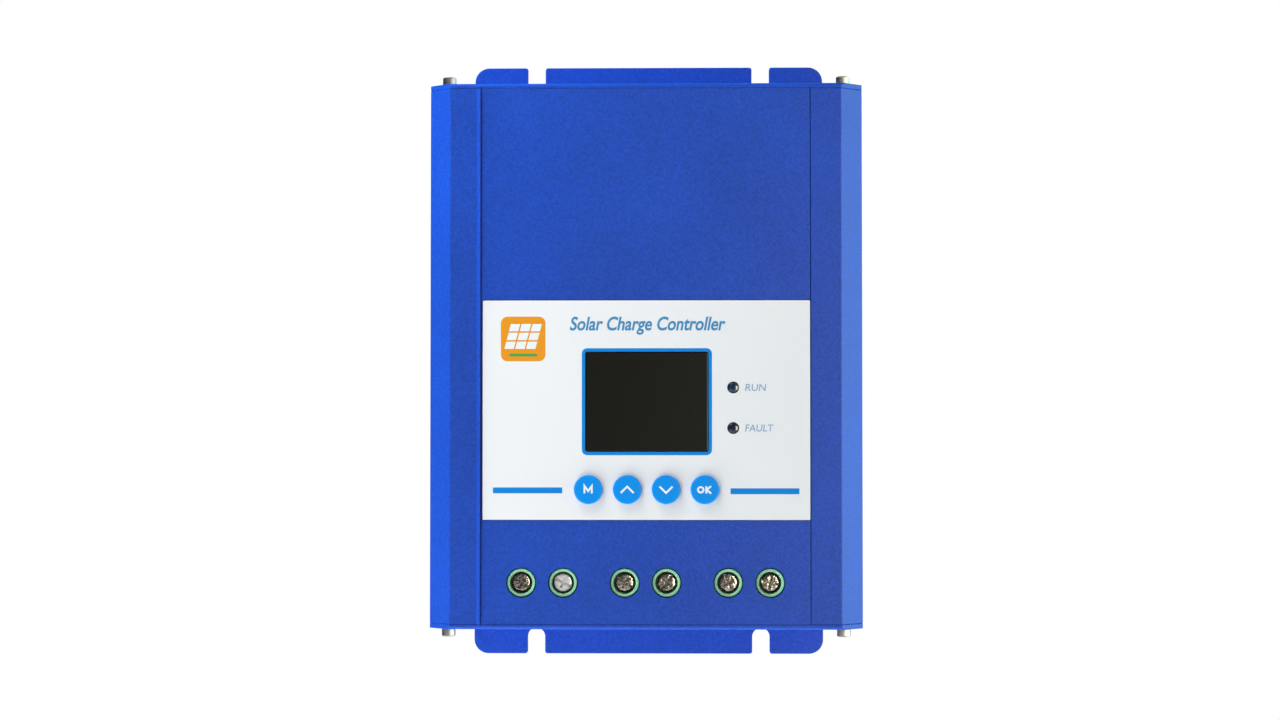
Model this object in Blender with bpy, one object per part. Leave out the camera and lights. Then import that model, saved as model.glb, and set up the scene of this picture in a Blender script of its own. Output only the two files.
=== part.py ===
"""Wall-mounted solar charge controller: case, controls, terminals and the pieces inside.

Metres, +Z up.  The origin is the centre of the back plate's rear face: the wall is the plane
y = 0 and the front faces -Y.  Sizes are in millimetres, and every mesh is drawn in the front's
own axes: u to the right, v up, and h out of the wall towards the reader.
"""

from math import cos, radians, sin, tau

import bmesh
import bpy
from mathutils import Vector

MM = 0.001
GAP = 0.25                      # air left between two pieces that touch

# Case
BODY_WIDTH = 172.0
BODY_HEIGHT = 216.0             # over both end plates
BODY_DEPTH = 66.0
CHAMFER_WIDTH = 8.6             # long front edges of the case
CHAMFER_DEPTH = 8.0
WALL = 3.5
END_PLATE = 2.0
PANEL_WIDTH = 130.0
PANEL_BACK = 63.6               # height of the front panel's rear face
SEAM_CHAMFER = 0.5
RAIL_LIP = 3.5                  # reach of each rail behind the front panel
RIB_COUNT = 9
RIB_PITCH = 5.0
RIB_WIDTH = 2.0
RIB_DEPTH = 1.0
CORNER_BLOCK = 7.5              # solid corners of a rail that take the end screws

# Back plate and wall slots
PLATE_WIDTH = 146.0
PLATE_HEIGHT = 246.0
PLATE = 3.0
PLATE_CORNER = 6.0
PLATE_STEP_WIDTH = 3.0
PLATE_STEP = 1.6
SLOT_SPACING = 94.0
SLOT_WIDTH = 7.3
SLOT_DEPTH = 10.7
SLOT_MOUTH = 1.0

# End screws
SCREW_U = 78.4
SCREW_HEIGHTS = {"front": 58.5, "rear": 9.5}
SCREW_HEAD = 2.7
SCREW_SHANK = 1.25
SCREW_BORE_DEPTH = 14.0
SCREW_BORE = 1.5
SCREW_HOLE = 1.7                # clearance hole in an end plate
SCREW_LENGTH = 12.0
SCREW_HEAD_HEIGHT = 3.0
SCREW_SOCKET = 1.44             # half the hexagon across its corners
SCREW_SOCKET_DEPTH = 1.5

# Openings in the end plates, as heights above the wall
VENT_COUNT = 11
VENT_PITCH = 10.0
VENT_WIDTH = 3.2
TOP_VENTS = (20.0, 46.0)
BOTTOM_VENTS = (12.0, 32.0)
WIRE_WINDOW = (28.0, 11.4)
WIRE_HEIGHT = 45.0

# Label, display and lamps
LABEL_WIDTH = 129.3
LABEL_HEIGHT = 86.6
LABEL_CENTRE = (0.25, -21.5)
LABEL_POCKET = 65.5             # height of the pocket floor
LABEL_TOP = 66.15
WINDOW_WIDTH = 48.2
WINDOW_HEIGHT = 39.0
WINDOW_CENTRE = (0.5, -18.2)
LENS_RIM = 2.4
LENS_RIM_DEPTH = 1.2
LENS_GAP = 0.3
LAMP_U = 34.6
LAMP_PLACES = {"run": -12.6, "fault": -28.6}
LAMP = 2.1

# Keys
KEY_PLACES = {"menu": -22.6, "up": -7.2, "down": 8.1, "ok": 23.4}
KEY_V = -52.9
KEY = 5.7
KEY_STEM = 3.5
KEY_STEM_HOLE = 3.9
KEY_FLANGE = 5.0
KEY_PUSHER = 1.6
KEY_TRAVEL = 0.4
SWITCH_WIDTH = 6.0
SWITCH_HEIGHT = 3.2
SWITCH_TOP = 60.1

# Terminals
TERMINAL_V = -89.6
POLE_PITCH = 16.5
BLOCK_CENTRES = {"solar": -40.85, "battery": 0.0, "load": 40.85}
BLOCK_WIDTH = 32.4
BLOCK_BOTTOM = -104.9
BLOCK_TOP = -80.5
BLOCK_FRONT = 61.0
COLLAR = 5.45
COLLAR_BORE = 4.4
COLLAR_TOP = 65.2
COLLAR_HOLE = 5.95
HEAD = 3.65
SHANK = 2.5
HEAD_TOP = 64.0
HEAD_SLOT = 0.55                # half the width of the slots in the head
HEAD_SLOT_FLOOR = 62.7
HEAD_TURNS = (35, 28, 32, 128, 64, 12)
BLOCK_WALL = 2.0
CAVITY = 5.8                    # half the width of a pole's cavity
WIRE_ENTRY = (8.6, 7.6)
CAGE = (5.5, 4.5)               # half the cage's width and length
CAGE_HEIGHTS = (39.8, 53.3)
CAGE_WINDOW = (4.4, 41.3, 50.8)
CONTACT = 3.0                   # half the contact bar's width
BAR_HEIGHTS = (48.5, 50.0)
BAR_ENDS = (-6.4, 11.2)         # along the wire, from the screw's axis
BAR_THICKNESS = 1.5

# Boards and the pieces on them
MAIN_BOARD = (35.6, 37.2)
DISPLAY_BOARD = (54.1, 55.7)
DISPLAY_BOARD_BOX = ((-39.0, -62.0), (45.0, 10.0))
STUD = 3.0
STUD_PIN = 1.3
STUD_HOLE = 1.6
STUDS = ((-35.0, 5.0), (41.0, 5.0), (-35.0, -57.5), (41.0, -57.5))
MAIN_BOARD_SIZE = (148.0, 206.0)
SPACER = 3.2
SPACERS = ((-60.0, 92.0), (60.0, 92.0), (-60.0, -70.0), (60.0, -70.0))
CAPACITOR = 9.0
CAPACITOR_HEIGHT = 28.5
CAPACITORS = ((24.0, 20.0), (24.0, -8.0))
COIL_SPINE = 15.0
COIL_TUBE = 8.0
COIL_PLACE = (-28.0, 40.0)
SPREADER_U = 66.0               # inner edge of the heat spreader's foot
SPREADER_ENDS = (-55.0, 65.0)
SPREADER = (3.0, 4.0, 20.0)     # wall, foot and depth
RIBBON_EDGES = (6.0, 26.0)
RIBBON_BEND = 6.0
RIBBON = 1.0

FINE = 24                       # sides of a large round hole or collar
ROUND = 18                      # sides of a key or a screw head
COARSE = 12                     # sides of a small round piece

FINISHES = {
    "blue_coating": ((0.020, 0.090, 0.560), 0.50, 0.0),
    "grey_steel": ((0.36, 0.37, 0.39), 0.35, 1.0),
    "nickel": ((0.72, 0.70, 0.66), 0.25, 1.0),
    "brass": ((0.72, 0.55, 0.28), 0.35, 1.0),
    "tinned_copper": ((0.70, 0.66, 0.60), 0.35, 1.0),
    "bare_aluminium": ((0.75, 0.76, 0.78), 0.40, 1.0),
    "white_film": ((0.86, 0.87, 0.89), 0.45, 0.0),
    "black_window": ((0.012, 0.012, 0.012), 0.20, 0.0),
    "key_blue": ((0.012, 0.300, 0.910), 0.40, 0.0),
    "smoked_lens": ((0.05, 0.06, 0.08), 0.25, 0.0),
    "pale_green": ((0.30, 0.62, 0.42), 0.45, 0.0),
    "board_green": ((0.02, 0.16, 0.07), 0.45, 0.0),
    "black_plastic": ((0.02, 0.02, 0.02), 0.50, 0.0),
    "grey_ribbon": ((0.45, 0.46, 0.48), 0.55, 0.0),
    "enamelled_copper": ((0.55, 0.20, 0.06), 0.35, 0.6),
    "can_sleeve": ((0.03, 0.04, 0.07), 0.40, 0.0),
}


def clear_scene():
    """Remove every object that the file opened with."""
    for item in list(bpy.data.objects):
        bpy.data.objects.remove(item, do_unlink=True)


def finish(name):
    """Return the named Principled material, made once."""
    found = bpy.data.materials.get(name)
    if found:
        return found
    colour, roughness, metallic = FINISHES[name]
    made = bpy.data.materials.new(name)
    made.use_nodes = True
    shader = made.node_tree.nodes["Principled BSDF"]
    shader.inputs["Base Color"].default_value = (*colour, 1.0)
    shader.inputs["Roughness"].default_value = roughness
    shader.inputs["Metallic"].default_value = metallic
    return made


# Outlines

def arc(centre, radius, start, end, steps):
    """Points on an arc from one angle to another, in degrees."""
    angles = [radians(start + (end - start) * step / steps) for step in range(steps + 1)]
    return [(centre[0] + radius * cos(a), centre[1] + radius * sin(a)) for a in angles]


def box_outline(low, high):
    """A rectangle from its low corner to its high one."""
    return [low, (high[0], low[1]), high, (low[0], high[1])]


def rounded_outline(width, height, radius, centre=(0.0, 0.0), steps=3):
    """A rectangle with round corners, anticlockwise from the lower right."""
    reach_u = width / 2 - radius
    reach_v = height / 2 - radius
    outline = []
    for turn, (u, v) in enumerate(((1, -1), (1, 1), (-1, 1), (-1, -1))):
        corner = (centre[0] + u * reach_u, centre[1] + v * reach_v)
        outline += arc(corner, radius, 90 * turn - 90, 90 * turn, steps)
    return outline


# Solids: a list of vertices and a list of faces, in millimetres

def to_front_axes(along, a, b, c):
    """Turn a point of an outline, and its place along the third axis, into (u, v, h)."""
    return {"u": (c, a, b), "v": (a, c, b), "h": (a, b, c)}[along]


def skin(rings, closed=False):
    """Join rings of equal size into one closed solid; closed also joins the last to the first."""
    size = len(rings[0])
    vertices = [point for ring in rings for point in ring]
    faces = []
    for index in range(len(rings) if closed else len(rings) - 1):
        low = index * size
        high = (index + 1) % len(rings) * size
        for step in range(size):
            after = (step + 1) % size
            faces.append((low + step, low + after, high + after, high + step))
    if not closed:
        faces.append(tuple(range(size)))
        faces.append(tuple(range(len(vertices) - size, len(vertices))))
    return vertices, faces


def prism(outline, low, high, along="h"):
    """Extrude an outline: (u, v) along h, (u, h) along v, or (v, h) along u."""
    return skin([[to_front_axes(along, a, b, c) for a, b in outline] for c in (low, high)])


def stack(layers):
    """Loft outlines of equal size, given as (outline, height) from back to front."""
    return skin([[(u, v, height) for u, v in outline] for outline, height in layers])


def turned(profile, steps, centre=(0.0, 0.0), along="h"):
    """Spin a profile of (radius, place) about an axis through centre."""
    rings = []
    for radius, place in profile:
        circle = arc(centre, radius, 0, 360, steps)[:-1]
        rings.append([to_front_axes(along, a, b, place) for a, b in circle])
    return skin(rings)


def mesh_of(*solids):
    """Build one mesh in metres from one or more solids, its faces pointing out."""
    shape = bmesh.new()
    for vertices, faces in solids:
        made = [shape.verts.new(Vector(point) * MM) for point in vertices]
        for face in faces:
            shape.faces.new([made[index] for index in face])
    bmesh.ops.recalc_face_normals(shape, faces=shape.faces)
    mesh = bpy.data.meshes.new("shape")
    shape.to_mesh(mesh)
    shape.free()
    return mesh


def combined(mesh, operation, *solids):
    """Apply one Boolean between a mesh and the given solids, which don't touch each other."""
    body = bpy.data.objects.new("body", mesh)
    tool = bpy.data.objects.new("tool", mesh_of(*solids))
    for item in (body, tool):
        bpy.context.collection.objects.link(item)
    boolean = body.modifiers.new("Boolean", "BOOLEAN")
    boolean.operation = operation
    boolean.object = tool
    depsgraph = bpy.context.evaluated_depsgraph_get()
    result = bpy.data.meshes.new_from_object(body.evaluated_get(depsgraph))
    for item in (body, tool):
        bpy.data.objects.remove(item)
    return result


def place(name, mesh, finish_name, at=(0.0, 0.0), turn=0.0):
    """Link a mesh as a named object, its own axes turned to face the front.

    at is the (u, v) of its origin, turn is clockwise as seen from the front, in degrees.
    """
    piece = bpy.data.objects.new(name, mesh)
    piece.location = (at[0] * MM, 0.0, at[1] * MM)
    piece.rotation_euler = (radians(90), radians(turn), 0.0)
    bpy.context.collection.objects.link(piece)
    if not mesh.materials:
        mesh.materials.append(finish(finish_name))
    mesh.shade_smooth()
    mesh.set_sharp_from_angle(angle=radians(35))
    return piece


# Case

def rail_outline():
    """Section of the right-hand rail in (u, h), from the seam round the outside and back."""
    half = BODY_WIDTH / 2
    inner = half - WALL
    seam = PANEL_WIDTH / 2 + GAP
    behind = PANEL_BACK - GAP
    block = inner - CORNER_BLOCK
    lip = PLATE_WIDTH / 2 - 5.0
    plate_edge = PLATE_WIDTH / 2 + GAP
    outline = [
        (seam, BODY_DEPTH - SEAM_CHAMFER),
        (seam + SEAM_CHAMFER, BODY_DEPTH),
        (half - CHAMFER_WIDTH, BODY_DEPTH),
        (half, BODY_DEPTH - CHAMFER_DEPTH),
    ]
    for index in range(RIB_COUNT):
        height = BODY_DEPTH - CHAMFER_DEPTH - 8.0 - index * RIB_PITCH
        outline += [
            (half, height + RIB_WIDTH / 2),
            (half - RIB_DEPTH, height + RIB_WIDTH / 3),
            (half - RIB_DEPTH, height - RIB_WIDTH / 3),
            (half, height - RIB_WIDTH / 2),
        ]
    outline += [
        (half, 0.0),
        (PLATE_WIDTH / 2 - PLATE_STEP_WIDTH + GAP, 0.0),
        (PLATE_WIDTH / 2 - PLATE_STEP_WIDTH + GAP, PLATE_STEP - GAP),
        (plate_edge, PLATE_STEP - GAP),
        (plate_edge, PLATE + GAP),
        (lip, PLATE + GAP),
        (lip, PLATE + 2.8),
        (block, PLATE + 2.8),
        (block, PLATE + 10.0),
        (inner, PLATE + 10.0),
        (inner, behind - 2.0 - CORNER_BLOCK),
        (block, behind - 2.0 - CORNER_BLOCK),
        (block, behind - 2.0),
        (seam - RAIL_LIP, behind - 2.0),
        (seam - RAIL_LIP, behind),
        (seam, behind),
    ]
    return outline


def make_rails():
    """Two extruded side rails: front shoulder, chamfer, ribbed wall and plate groove."""
    reach = BODY_HEIGHT / 2 - END_PLATE - GAP
    for name, side in (("left_rail", -1), ("right_rail", 1)):
        outline = [(side * u, h) for u, h in rail_outline()]
        bores = []
        for height in SCREW_HEIGHTS.values():
            for end in (-1, 1):
                span = [(SCREW_BORE, end * (reach - SCREW_BORE_DEPTH)),
                        (SCREW_BORE, end * (reach + 1.0))]
                bores.append(turned(span, COARSE, (side * SCREW_U, height), "v"))
        rail = combined(mesh_of(prism(outline, -reach, reach, "v")), "DIFFERENCE", *bores)
        place(name, rail, "blue_coating")


def vent_slots(low, high, below, above):
    """A row of ventilation slots in an end plate, as cutters."""
    slots = []
    for index in range(VENT_COUNT):
        centre = ((index - VENT_COUNT // 2) * VENT_PITCH, (low + high) / 2)
        outline = rounded_outline(VENT_WIDTH, high - low, VENT_WIDTH / 2 - 0.05, centre, 2)
        slots.append(prism(outline, below, above, "v"))
    return slots


def make_end_plates():
    """Top and bottom plates with the case's section; the bottom one lets the wires in."""
    half = BODY_WIDTH / 2
    notch = PLATE_WIDTH / 2 + GAP
    right = [
        (notch, PLATE + GAP),
        (notch, 0.0),
        (half, 0.0),
        (half, BODY_DEPTH - CHAMFER_DEPTH),
        (half - CHAMFER_WIDTH, BODY_DEPTH),
    ]
    outline = right + [(-u, h) for u, h in reversed(right)]
    for name, end in (("top_end_plate", 1), ("bottom_end_plate", -1)):
        inner, outer = sorted((end * (BODY_HEIGHT / 2 - END_PLATE), end * BODY_HEIGHT / 2))
        below, above = inner - 1.0, outer + 1.0
        span = [(SCREW_HOLE, below), (SCREW_HOLE, above)]
        holes = [turned(span, COARSE, (side * SCREW_U, height), "v")
                 for side in (-1, 1) for height in SCREW_HEIGHTS.values()]
        if end > 0:
            holes += vent_slots(*TOP_VENTS, below, above)
        else:
            holes += vent_slots(*BOTTOM_VENTS, below, above)
            for centre in BLOCK_CENTRES.values():
                window = rounded_outline(*WIRE_WINDOW, 1.5, (centre, WIRE_HEIGHT), 2)
                holes.append(prism(window, below, above, "v"))
        plate = combined(mesh_of(prism(outline, inner, outer, "v")), "DIFFERENCE", *holes)
        place(name, plate, "blue_coating")


def back_plate_outline():
    """Outline in (u, v): round corners, and two open slots in each short side."""
    half_u = PLATE_WIDTH / 2
    half_v = PLATE_HEIGHT / 2
    slot = SLOT_WIDTH / 2
    floor = half_v - SLOT_DEPTH + slot
    top = arc((half_u - PLATE_CORNER, half_v - PLATE_CORNER), PLATE_CORNER, 0, 90, 6)
    for u in (SLOT_SPACING / 2, -SLOT_SPACING / 2):
        mouth = half_v - SLOT_MOUTH
        top += arc((u + slot + SLOT_MOUTH, mouth), SLOT_MOUTH, 90, 180, 3)
        top += arc((u, floor), slot, 0, -180, 10)
        top += arc((u - slot - SLOT_MOUTH, mouth), SLOT_MOUTH, 0, 90, 3)
    top += arc((PLATE_CORNER - half_u, half_v - PLATE_CORNER), PLATE_CORNER, 90, 180, 6)
    return top + [(-u, -v) for u, v in top]


def make_back_plate():
    """Wall plate: both ends stand past the case, both sides are stepped for the rails."""
    inner = PLATE_WIDTH / 2 - PLATE_STEP_WIDTH
    reach = PLATE_HEIGHT / 2 + 1.0
    steps = []
    for low, high in ((inner, PLATE_WIDTH / 2 + 1.0), (-PLATE_WIDTH / 2 - 1.0, -inner)):
        steps.append(prism(box_outline((low, -reach), (high, reach)), -1.0, PLATE_STEP))
    plate = mesh_of(prism(back_plate_outline(), 0.0, PLATE))
    place("back_plate", combined(plate, "DIFFERENCE", *steps), "blue_coating")


def make_front_panel():
    """Front panel: label pocket, holes for what shows through, studs for the display board."""
    half = PANEL_WIDTH / 2
    reach = BODY_HEIGHT / 2 - END_PLATE - GAP
    section = [
        (-half, PANEL_BACK),
        (half, PANEL_BACK),
        (half, BODY_DEPTH - SEAM_CHAMFER),
        (half - SEAM_CHAMFER, BODY_DEPTH),
        (SEAM_CHAMFER - half, BODY_DEPTH),
        (-half, BODY_DEPTH - SEAM_CHAMFER),
    ]
    shoulder = DISPLAY_BOARD[1] + GAP
    stud = [(STUD_PIN, DISPLAY_BOARD[0] - 1.0), (STUD_PIN, shoulder), (STUD, shoulder),
            (STUD, PANEL_BACK + 1.0)]
    studs = [turned(stud, COARSE, at) for at in STUDS]
    pocket_low = LABEL_CENTRE[1] - LABEL_HEIGHT / 2 - GAP
    pocket_high = LABEL_CENTRE[1] + LABEL_HEIGHT / 2 + GAP
    pocket = prism(box_outline((-half - 1, pocket_low), (half + 1, pocket_high)),
                   LABEL_POCKET, BODY_DEPTH + 1.0)
    holes = front_holes(PANEL_BACK - 1.0, BODY_DEPTH + 1.0)
    for centre in BLOCK_CENTRES.values():
        for pole in (-POLE_PITCH / 2, POLE_PITCH / 2):
            span = [(COLLAR_HOLE, PANEL_BACK - 1.0), (COLLAR_HOLE, BODY_DEPTH + 1.0)]
            holes.append(turned(span, FINE, (centre + pole, TERMINAL_V)))
    panel = mesh_of(prism(section, -reach, reach, "v"))
    panel = combined(panel, "UNION", *studs)
    panel = combined(panel, "DIFFERENCE", pocket)
    place("front_panel", combined(panel, "DIFFERENCE", *holes), "blue_coating")


def front_holes(low, high):
    """Cutters for what shows through both the label and the panel."""
    window = rounded_outline(WINDOW_WIDTH + 2 * LENS_GAP, WINDOW_HEIGHT + 2 * LENS_GAP, 0.8,
                             WINDOW_CENTRE)
    holes = [prism(window, low, high)]
    for v in LAMP_PLACES.values():
        holes.append(turned([(LAMP + GAP, low), (LAMP + GAP, high)], COARSE, (LAMP_U, v)))
    for u in KEY_PLACES.values():
        holes.append(turned([(KEY_STEM_HOLE, low), (KEY_STEM_HOLE, high)], COARSE, (u, KEY_V)))
    return holes


def make_end_screws():
    """Eight socket-head screws, four through each end plate."""
    seat = BODY_HEIGHT / 2 + GAP
    top = seat + SCREW_HEAD_HEIGHT
    profile = [(SCREW_SHANK, seat - SCREW_LENGTH), (SCREW_SHANK, seat), (SCREW_HEAD, seat),
               (SCREW_HEAD, top - 0.3), (SCREW_HEAD - 0.3, top)]
    hexagon = arc((0.0, 0.0), SCREW_SOCKET, 0, 360, 6)[:-1]
    screw = combined(mesh_of(turned(profile, COARSE, along="v")), "DIFFERENCE",
                     prism(hexagon, top - SCREW_SOCKET_DEPTH, top + 1.0, "v"))
    for end_name, flipped in (("top", False), ("bottom", True)):
        for side_name, side in (("left", -1), ("right", 1)):
            for depth_name, height in SCREW_HEIGHTS.items():
                name = f"{end_name}_screw_{side_name}_{depth_name}"
                piece = place(name, screw, "grey_steel", (side * SCREW_U, 0.0))
                piece.rotation_euler = (radians(-90 if flipped else 90), 0.0, 0.0)
                piece.location.y = -height * MM


# Front controls

def make_label():
    """Printed film in the panel's pocket, open where the controls come through."""
    outline = rounded_outline(LABEL_WIDTH, LABEL_HEIGHT, 0.8, LABEL_CENTRE)
    film = mesh_of(prism(outline, LABEL_POCKET + GAP, LABEL_TOP))
    holes = front_holes(LABEL_POCKET - 1.0, LABEL_TOP + 1.0)
    place("front_label", combined(film, "DIFFERENCE", *holes), "white_film")


def make_display():
    """Window with a rim behind the panel, the display module, its board and its ribbon."""
    rim = (WINDOW_WIDTH + 2 * LENS_RIM, WINDOW_HEIGHT + 2 * LENS_RIM)
    rim_top = PANEL_BACK - GAP
    rim_back = rim_top - LENS_RIM_DEPTH
    wide = rounded_outline(*rim, 1.0, WINDOW_CENTRE)
    face = rounded_outline(WINDOW_WIDTH, WINDOW_HEIGHT, 0.5, WINDOW_CENTRE)
    edge = rounded_outline(WINDOW_WIDTH - 0.3, WINDOW_HEIGHT - 0.3, 0.4, WINDOW_CENTRE)
    lens = stack([(wide, rim_back), (wide, rim_top), (face, rim_top),
                  (face, LABEL_TOP - 0.1), (edge, LABEL_TOP + 0.05)])
    place("display_lens", mesh_of(lens), "black_window")

    seat = DISPLAY_BOARD[1] + GAP
    case = rounded_outline(52.0, 43.0, 1.0, WINDOW_CENTRE)
    place("display_module", mesh_of(prism(case, seat, rim_back - GAP)), "black_plastic")

    low, high = DISPLAY_BOARD_BOX
    span = [(STUD_HOLE, DISPLAY_BOARD[0] - 1.0), (STUD_HOLE, DISPLAY_BOARD[1] + 1.0)]
    holes = [turned(span, COARSE, at) for at in STUDS]
    board = mesh_of(prism(box_outline(low, high), *DISPLAY_BOARD))
    place("display_board", combined(board, "DIFFERENCE", *holes), "board_green")

    upper = DISPLAY_BOARD[0] - GAP
    lower = MAIN_BOARD[1] + GAP
    bend = (RIBBON_BEND, (upper + lower) / 2)
    radius = (upper - lower) / 2
    strip = [(0.0, upper)] + arc(bend, radius, 90, -90, 10) + [(0.0, lower), (0.0, lower + RIBBON)]
    strip += arc(bend, radius - RIBBON, -90, 90, 10) + [(0.0, upper - RIBBON)]
    place("ribbon_cable", mesh_of(prism(strip, *RIBBON_EDGES, "u")), "grey_ribbon")


def make_lamps():
    """Two small indicator lamps that stand on the display board."""
    seat = DISPLAY_BOARD[1] + GAP
    profile = [(LAMP + 0.5, seat), (LAMP + 0.5, seat + 1.0), (LAMP, seat + 1.0),
               (LAMP, LABEL_TOP - 0.6), (LAMP * 0.86, LABEL_TOP - 0.1), (LAMP * 0.5, LABEL_TOP + 0.2)]
    lamp = mesh_of(turned(profile, COARSE))
    for name, v in LAMP_PLACES.items():
        place(f"{name}_lamp", lamp, "smoked_lens", (LAMP_U, v))


def make_keys():
    """Four push keys and the switches that they press."""
    under = LABEL_TOP + KEY_TRAVEL + 0.1
    flange = PANEL_BACK - GAP
    profile = [
        (KEY_PUSHER, SWITCH_TOP + KEY_TRAVEL + GAP),
        (KEY_PUSHER, flange - 1.0),
        (KEY_FLANGE, flange - 1.0),
        (KEY_FLANGE, flange),
        (KEY_STEM, flange),
        (KEY_STEM, under),
        (KEY - 0.2, under),
        (KEY, under + 0.2),
        (KEY, under + 0.5),
        (KEY - 0.35, under + 0.8),
        (KEY - 2.2, under + 0.95),
    ]
    key = mesh_of(turned(profile, ROUND))
    seat = DISPLAY_BOARD[1] + GAP
    top = seat + SWITCH_HEIGHT
    square = rounded_outline(SWITCH_WIDTH, SWITCH_WIDTH, 0.4, steps=2)
    plunger = arc((0.0, 0.0), 1.75, -90 + 15.0, 270 + 15.0, 12)[:-1]
    switch = mesh_of(stack([(square, seat), (square, top), (plunger, top), (plunger, SWITCH_TOP)]))
    for name, u in KEY_PLACES.items():
        place(f"{name}_key", key, "key_blue", (u, KEY_V))
        place(f"{name}_switch", switch, "black_plastic", (u, KEY_V))


# Terminals

def make_block_mesh():
    """Two-pole terminal block: collars at the front, a cavity and a wire entry for each pole."""
    seat = MAIN_BOARD[1] + GAP
    half = BLOCK_WIDTH / 2
    low = BLOCK_BOTTOM - TERMINAL_V
    high = BLOCK_TOP - TERMINAL_V
    poles = (-POLE_PITCH / 2, POLE_PITCH / 2)
    collars, bores, cavities, entries = [], [], [], []
    for u in poles:
        collars.append(turned([(COLLAR, BLOCK_FRONT - 1.0), (COLLAR, COLLAR_TOP - 0.2),
                               (COLLAR - 0.2, COLLAR_TOP)], FINE, (u, 0.0)))
        bores.append(turned([(SHANK + 0.4, BLOCK_FRONT - 2 * BLOCK_WALL), (SHANK + 0.4, BLOCK_FRONT),
                             (COLLAR_BORE, BLOCK_FRONT), (COLLAR_BORE, COLLAR_TOP + 1.0)],
                            FINE, (u, 0.0)))
        cavity = box_outline((u - CAVITY, low + 1.5 * BLOCK_WALL), (u + CAVITY, high + 1.0))
        cavities.append(prism(cavity, seat + BLOCK_WALL, BLOCK_FRONT - BLOCK_WALL))
        entry = rounded_outline(*WIRE_ENTRY, 0.8, (u, WIRE_HEIGHT), 2)
        entries.append(prism(entry, low - 1.0, low + 2 * BLOCK_WALL, "v"))
    block = mesh_of(prism(box_outline((-half, low), (half, high)), seat, BLOCK_FRONT))
    block = combined(block, "UNION", *collars)
    for cutters in (cavities, bores, entries):
        block = combined(block, "DIFFERENCE", *cutters)
    return block


def make_screw_mesh():
    """Terminal screw: a long slot crossed by a short one in its head."""
    profile = [(SHANK - 0.4, BAR_HEIGHTS[1] + GAP), (SHANK, BAR_HEIGHTS[1] + 0.8),
               (SHANK, BLOCK_FRONT + GAP), (HEAD, BLOCK_FRONT + GAP), (HEAD, HEAD_TOP - 0.3),
               (HEAD - 0.3, HEAD_TOP)]
    half, long, short = HEAD_SLOT, HEAD + 1.0, HEAD - 1.35
    quarter = [(long, -half), (long, half), (half, half), (half, short)]
    cross = quarter + [(-u, v) for u, v in reversed(quarter)][:-1] + [(-long, -half)]
    cross += [(-half, -half), (-half, -short), (half, -short), (half, -half)]
    slots = prism(cross, HEAD_SLOT_FLOOR, HEAD_TOP + 1.0)
    return combined(mesh_of(turned(profile, ROUND)), "DIFFERENCE", slots)


def make_cage_mesh():
    """Rising wire cage: a square tube with the screw's hole in its front wall."""
    u, v = CAGE
    inner, floor, ceiling = CAGE_WINDOW
    cage = mesh_of(prism(box_outline((-u, -v), (u, v)), *CAGE_HEIGHTS))
    window = prism(box_outline((-inner, floor), (inner, ceiling)), -v - 1.0, v + 1.0, "v")
    bore = turned([(SHANK + 0.3, ceiling - 1.0), (SHANK + 0.3, CAGE_HEIGHTS[1] + 1.0)], COARSE)
    return combined(combined(cage, "DIFFERENCE", window), "DIFFERENCE", bore)


def make_contact_mesh():
    """Fixed contact bar above the wire, with a leg down to the main board."""
    low, high = BAR_HEIGHTS
    near, far = BAR_ENDS
    leg = far - BAR_THICKNESS
    foot = MAIN_BOARD[1] + GAP
    outline = [(near, low), (leg, low), (leg, foot), (far, foot), (far, high), (near, high)]
    return mesh_of(prism(outline, -CONTACT, CONTACT, "u"))


def make_terminals():
    """Three two-pole blocks, each pole with its screw, rising cage and contact bar."""
    block, screw, cage, contact = (make_block_mesh(), make_screw_mesh(), make_cage_mesh(),
                                   make_contact_mesh())
    turns = iter(HEAD_TURNS)
    for name, centre in BLOCK_CENTRES.items():
        place(f"{name}_terminal_block", block, "pale_green", (centre, TERMINAL_V))
        for side, pole in (("left", -POLE_PITCH / 2), ("right", POLE_PITCH / 2)):
            at = (centre + pole, TERMINAL_V)
            place(f"{name}_{side}_screw", screw, "nickel", at, next(turns))
            place(f"{name}_{side}_cage", cage, "brass", at)
            place(f"{name}_{side}_contact", contact, "tinned_copper", at)


# Power board

def make_power_board():
    """Main board on four spacers, with its heavy components on the side that faces the wall."""
    outline = rounded_outline(*MAIN_BOARD_SIZE, 2.0, (0.0, -0.5))
    place("main_board", mesh_of(prism(outline, *MAIN_BOARD)), "board_green")

    hexagon = arc((0.0, 0.0), SPACER, 0, 360, 6)[:-1]
    spacer = mesh_of(prism(hexagon, PLATE + GAP, MAIN_BOARD[0] - GAP))
    for number, at in enumerate(SPACERS, 1):
        place(f"board_spacer_{number}", spacer, "brass", at)

    under = MAIN_BOARD[0] - GAP
    bottom = under - CAPACITOR_HEIGHT
    can = [(CAPACITOR, under), (CAPACITOR, bottom + 1.0), (CAPACITOR - 0.8, bottom)]
    capacitor = mesh_of(turned(can, ROUND))
    for number, at in enumerate(CAPACITORS, 1):
        place(f"capacitor_{number}", capacitor, "can_sleeve", at)

    rings = []
    for angle in (tau * step / 20 for step in range(20)):
        rings.append([(cos(angle) * (COIL_SPINE + a), sin(angle) * (COIL_SPINE + a),
                       under - COIL_TUBE + b)
                      for a, b in arc((0.0, 0.0), COIL_TUBE, 0, 360, 8)[:-1]])
    place("inductor", mesh_of(skin(rings, closed=True)), "enamelled_copper", COIL_PLACE)

    outer = BODY_WIDTH / 2 - WALL - GAP
    wall, foot, depth = SPREADER
    section = [(SPREADER_U, under - foot), (outer - wall, under - foot),
               (outer - wall, under - depth), (outer, under - depth), (outer, under),
               (SPREADER_U, under)]
    place("heat_spreader", mesh_of(prism(section, *SPREADER_ENDS, "v")), "bare_aluminium")


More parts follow.
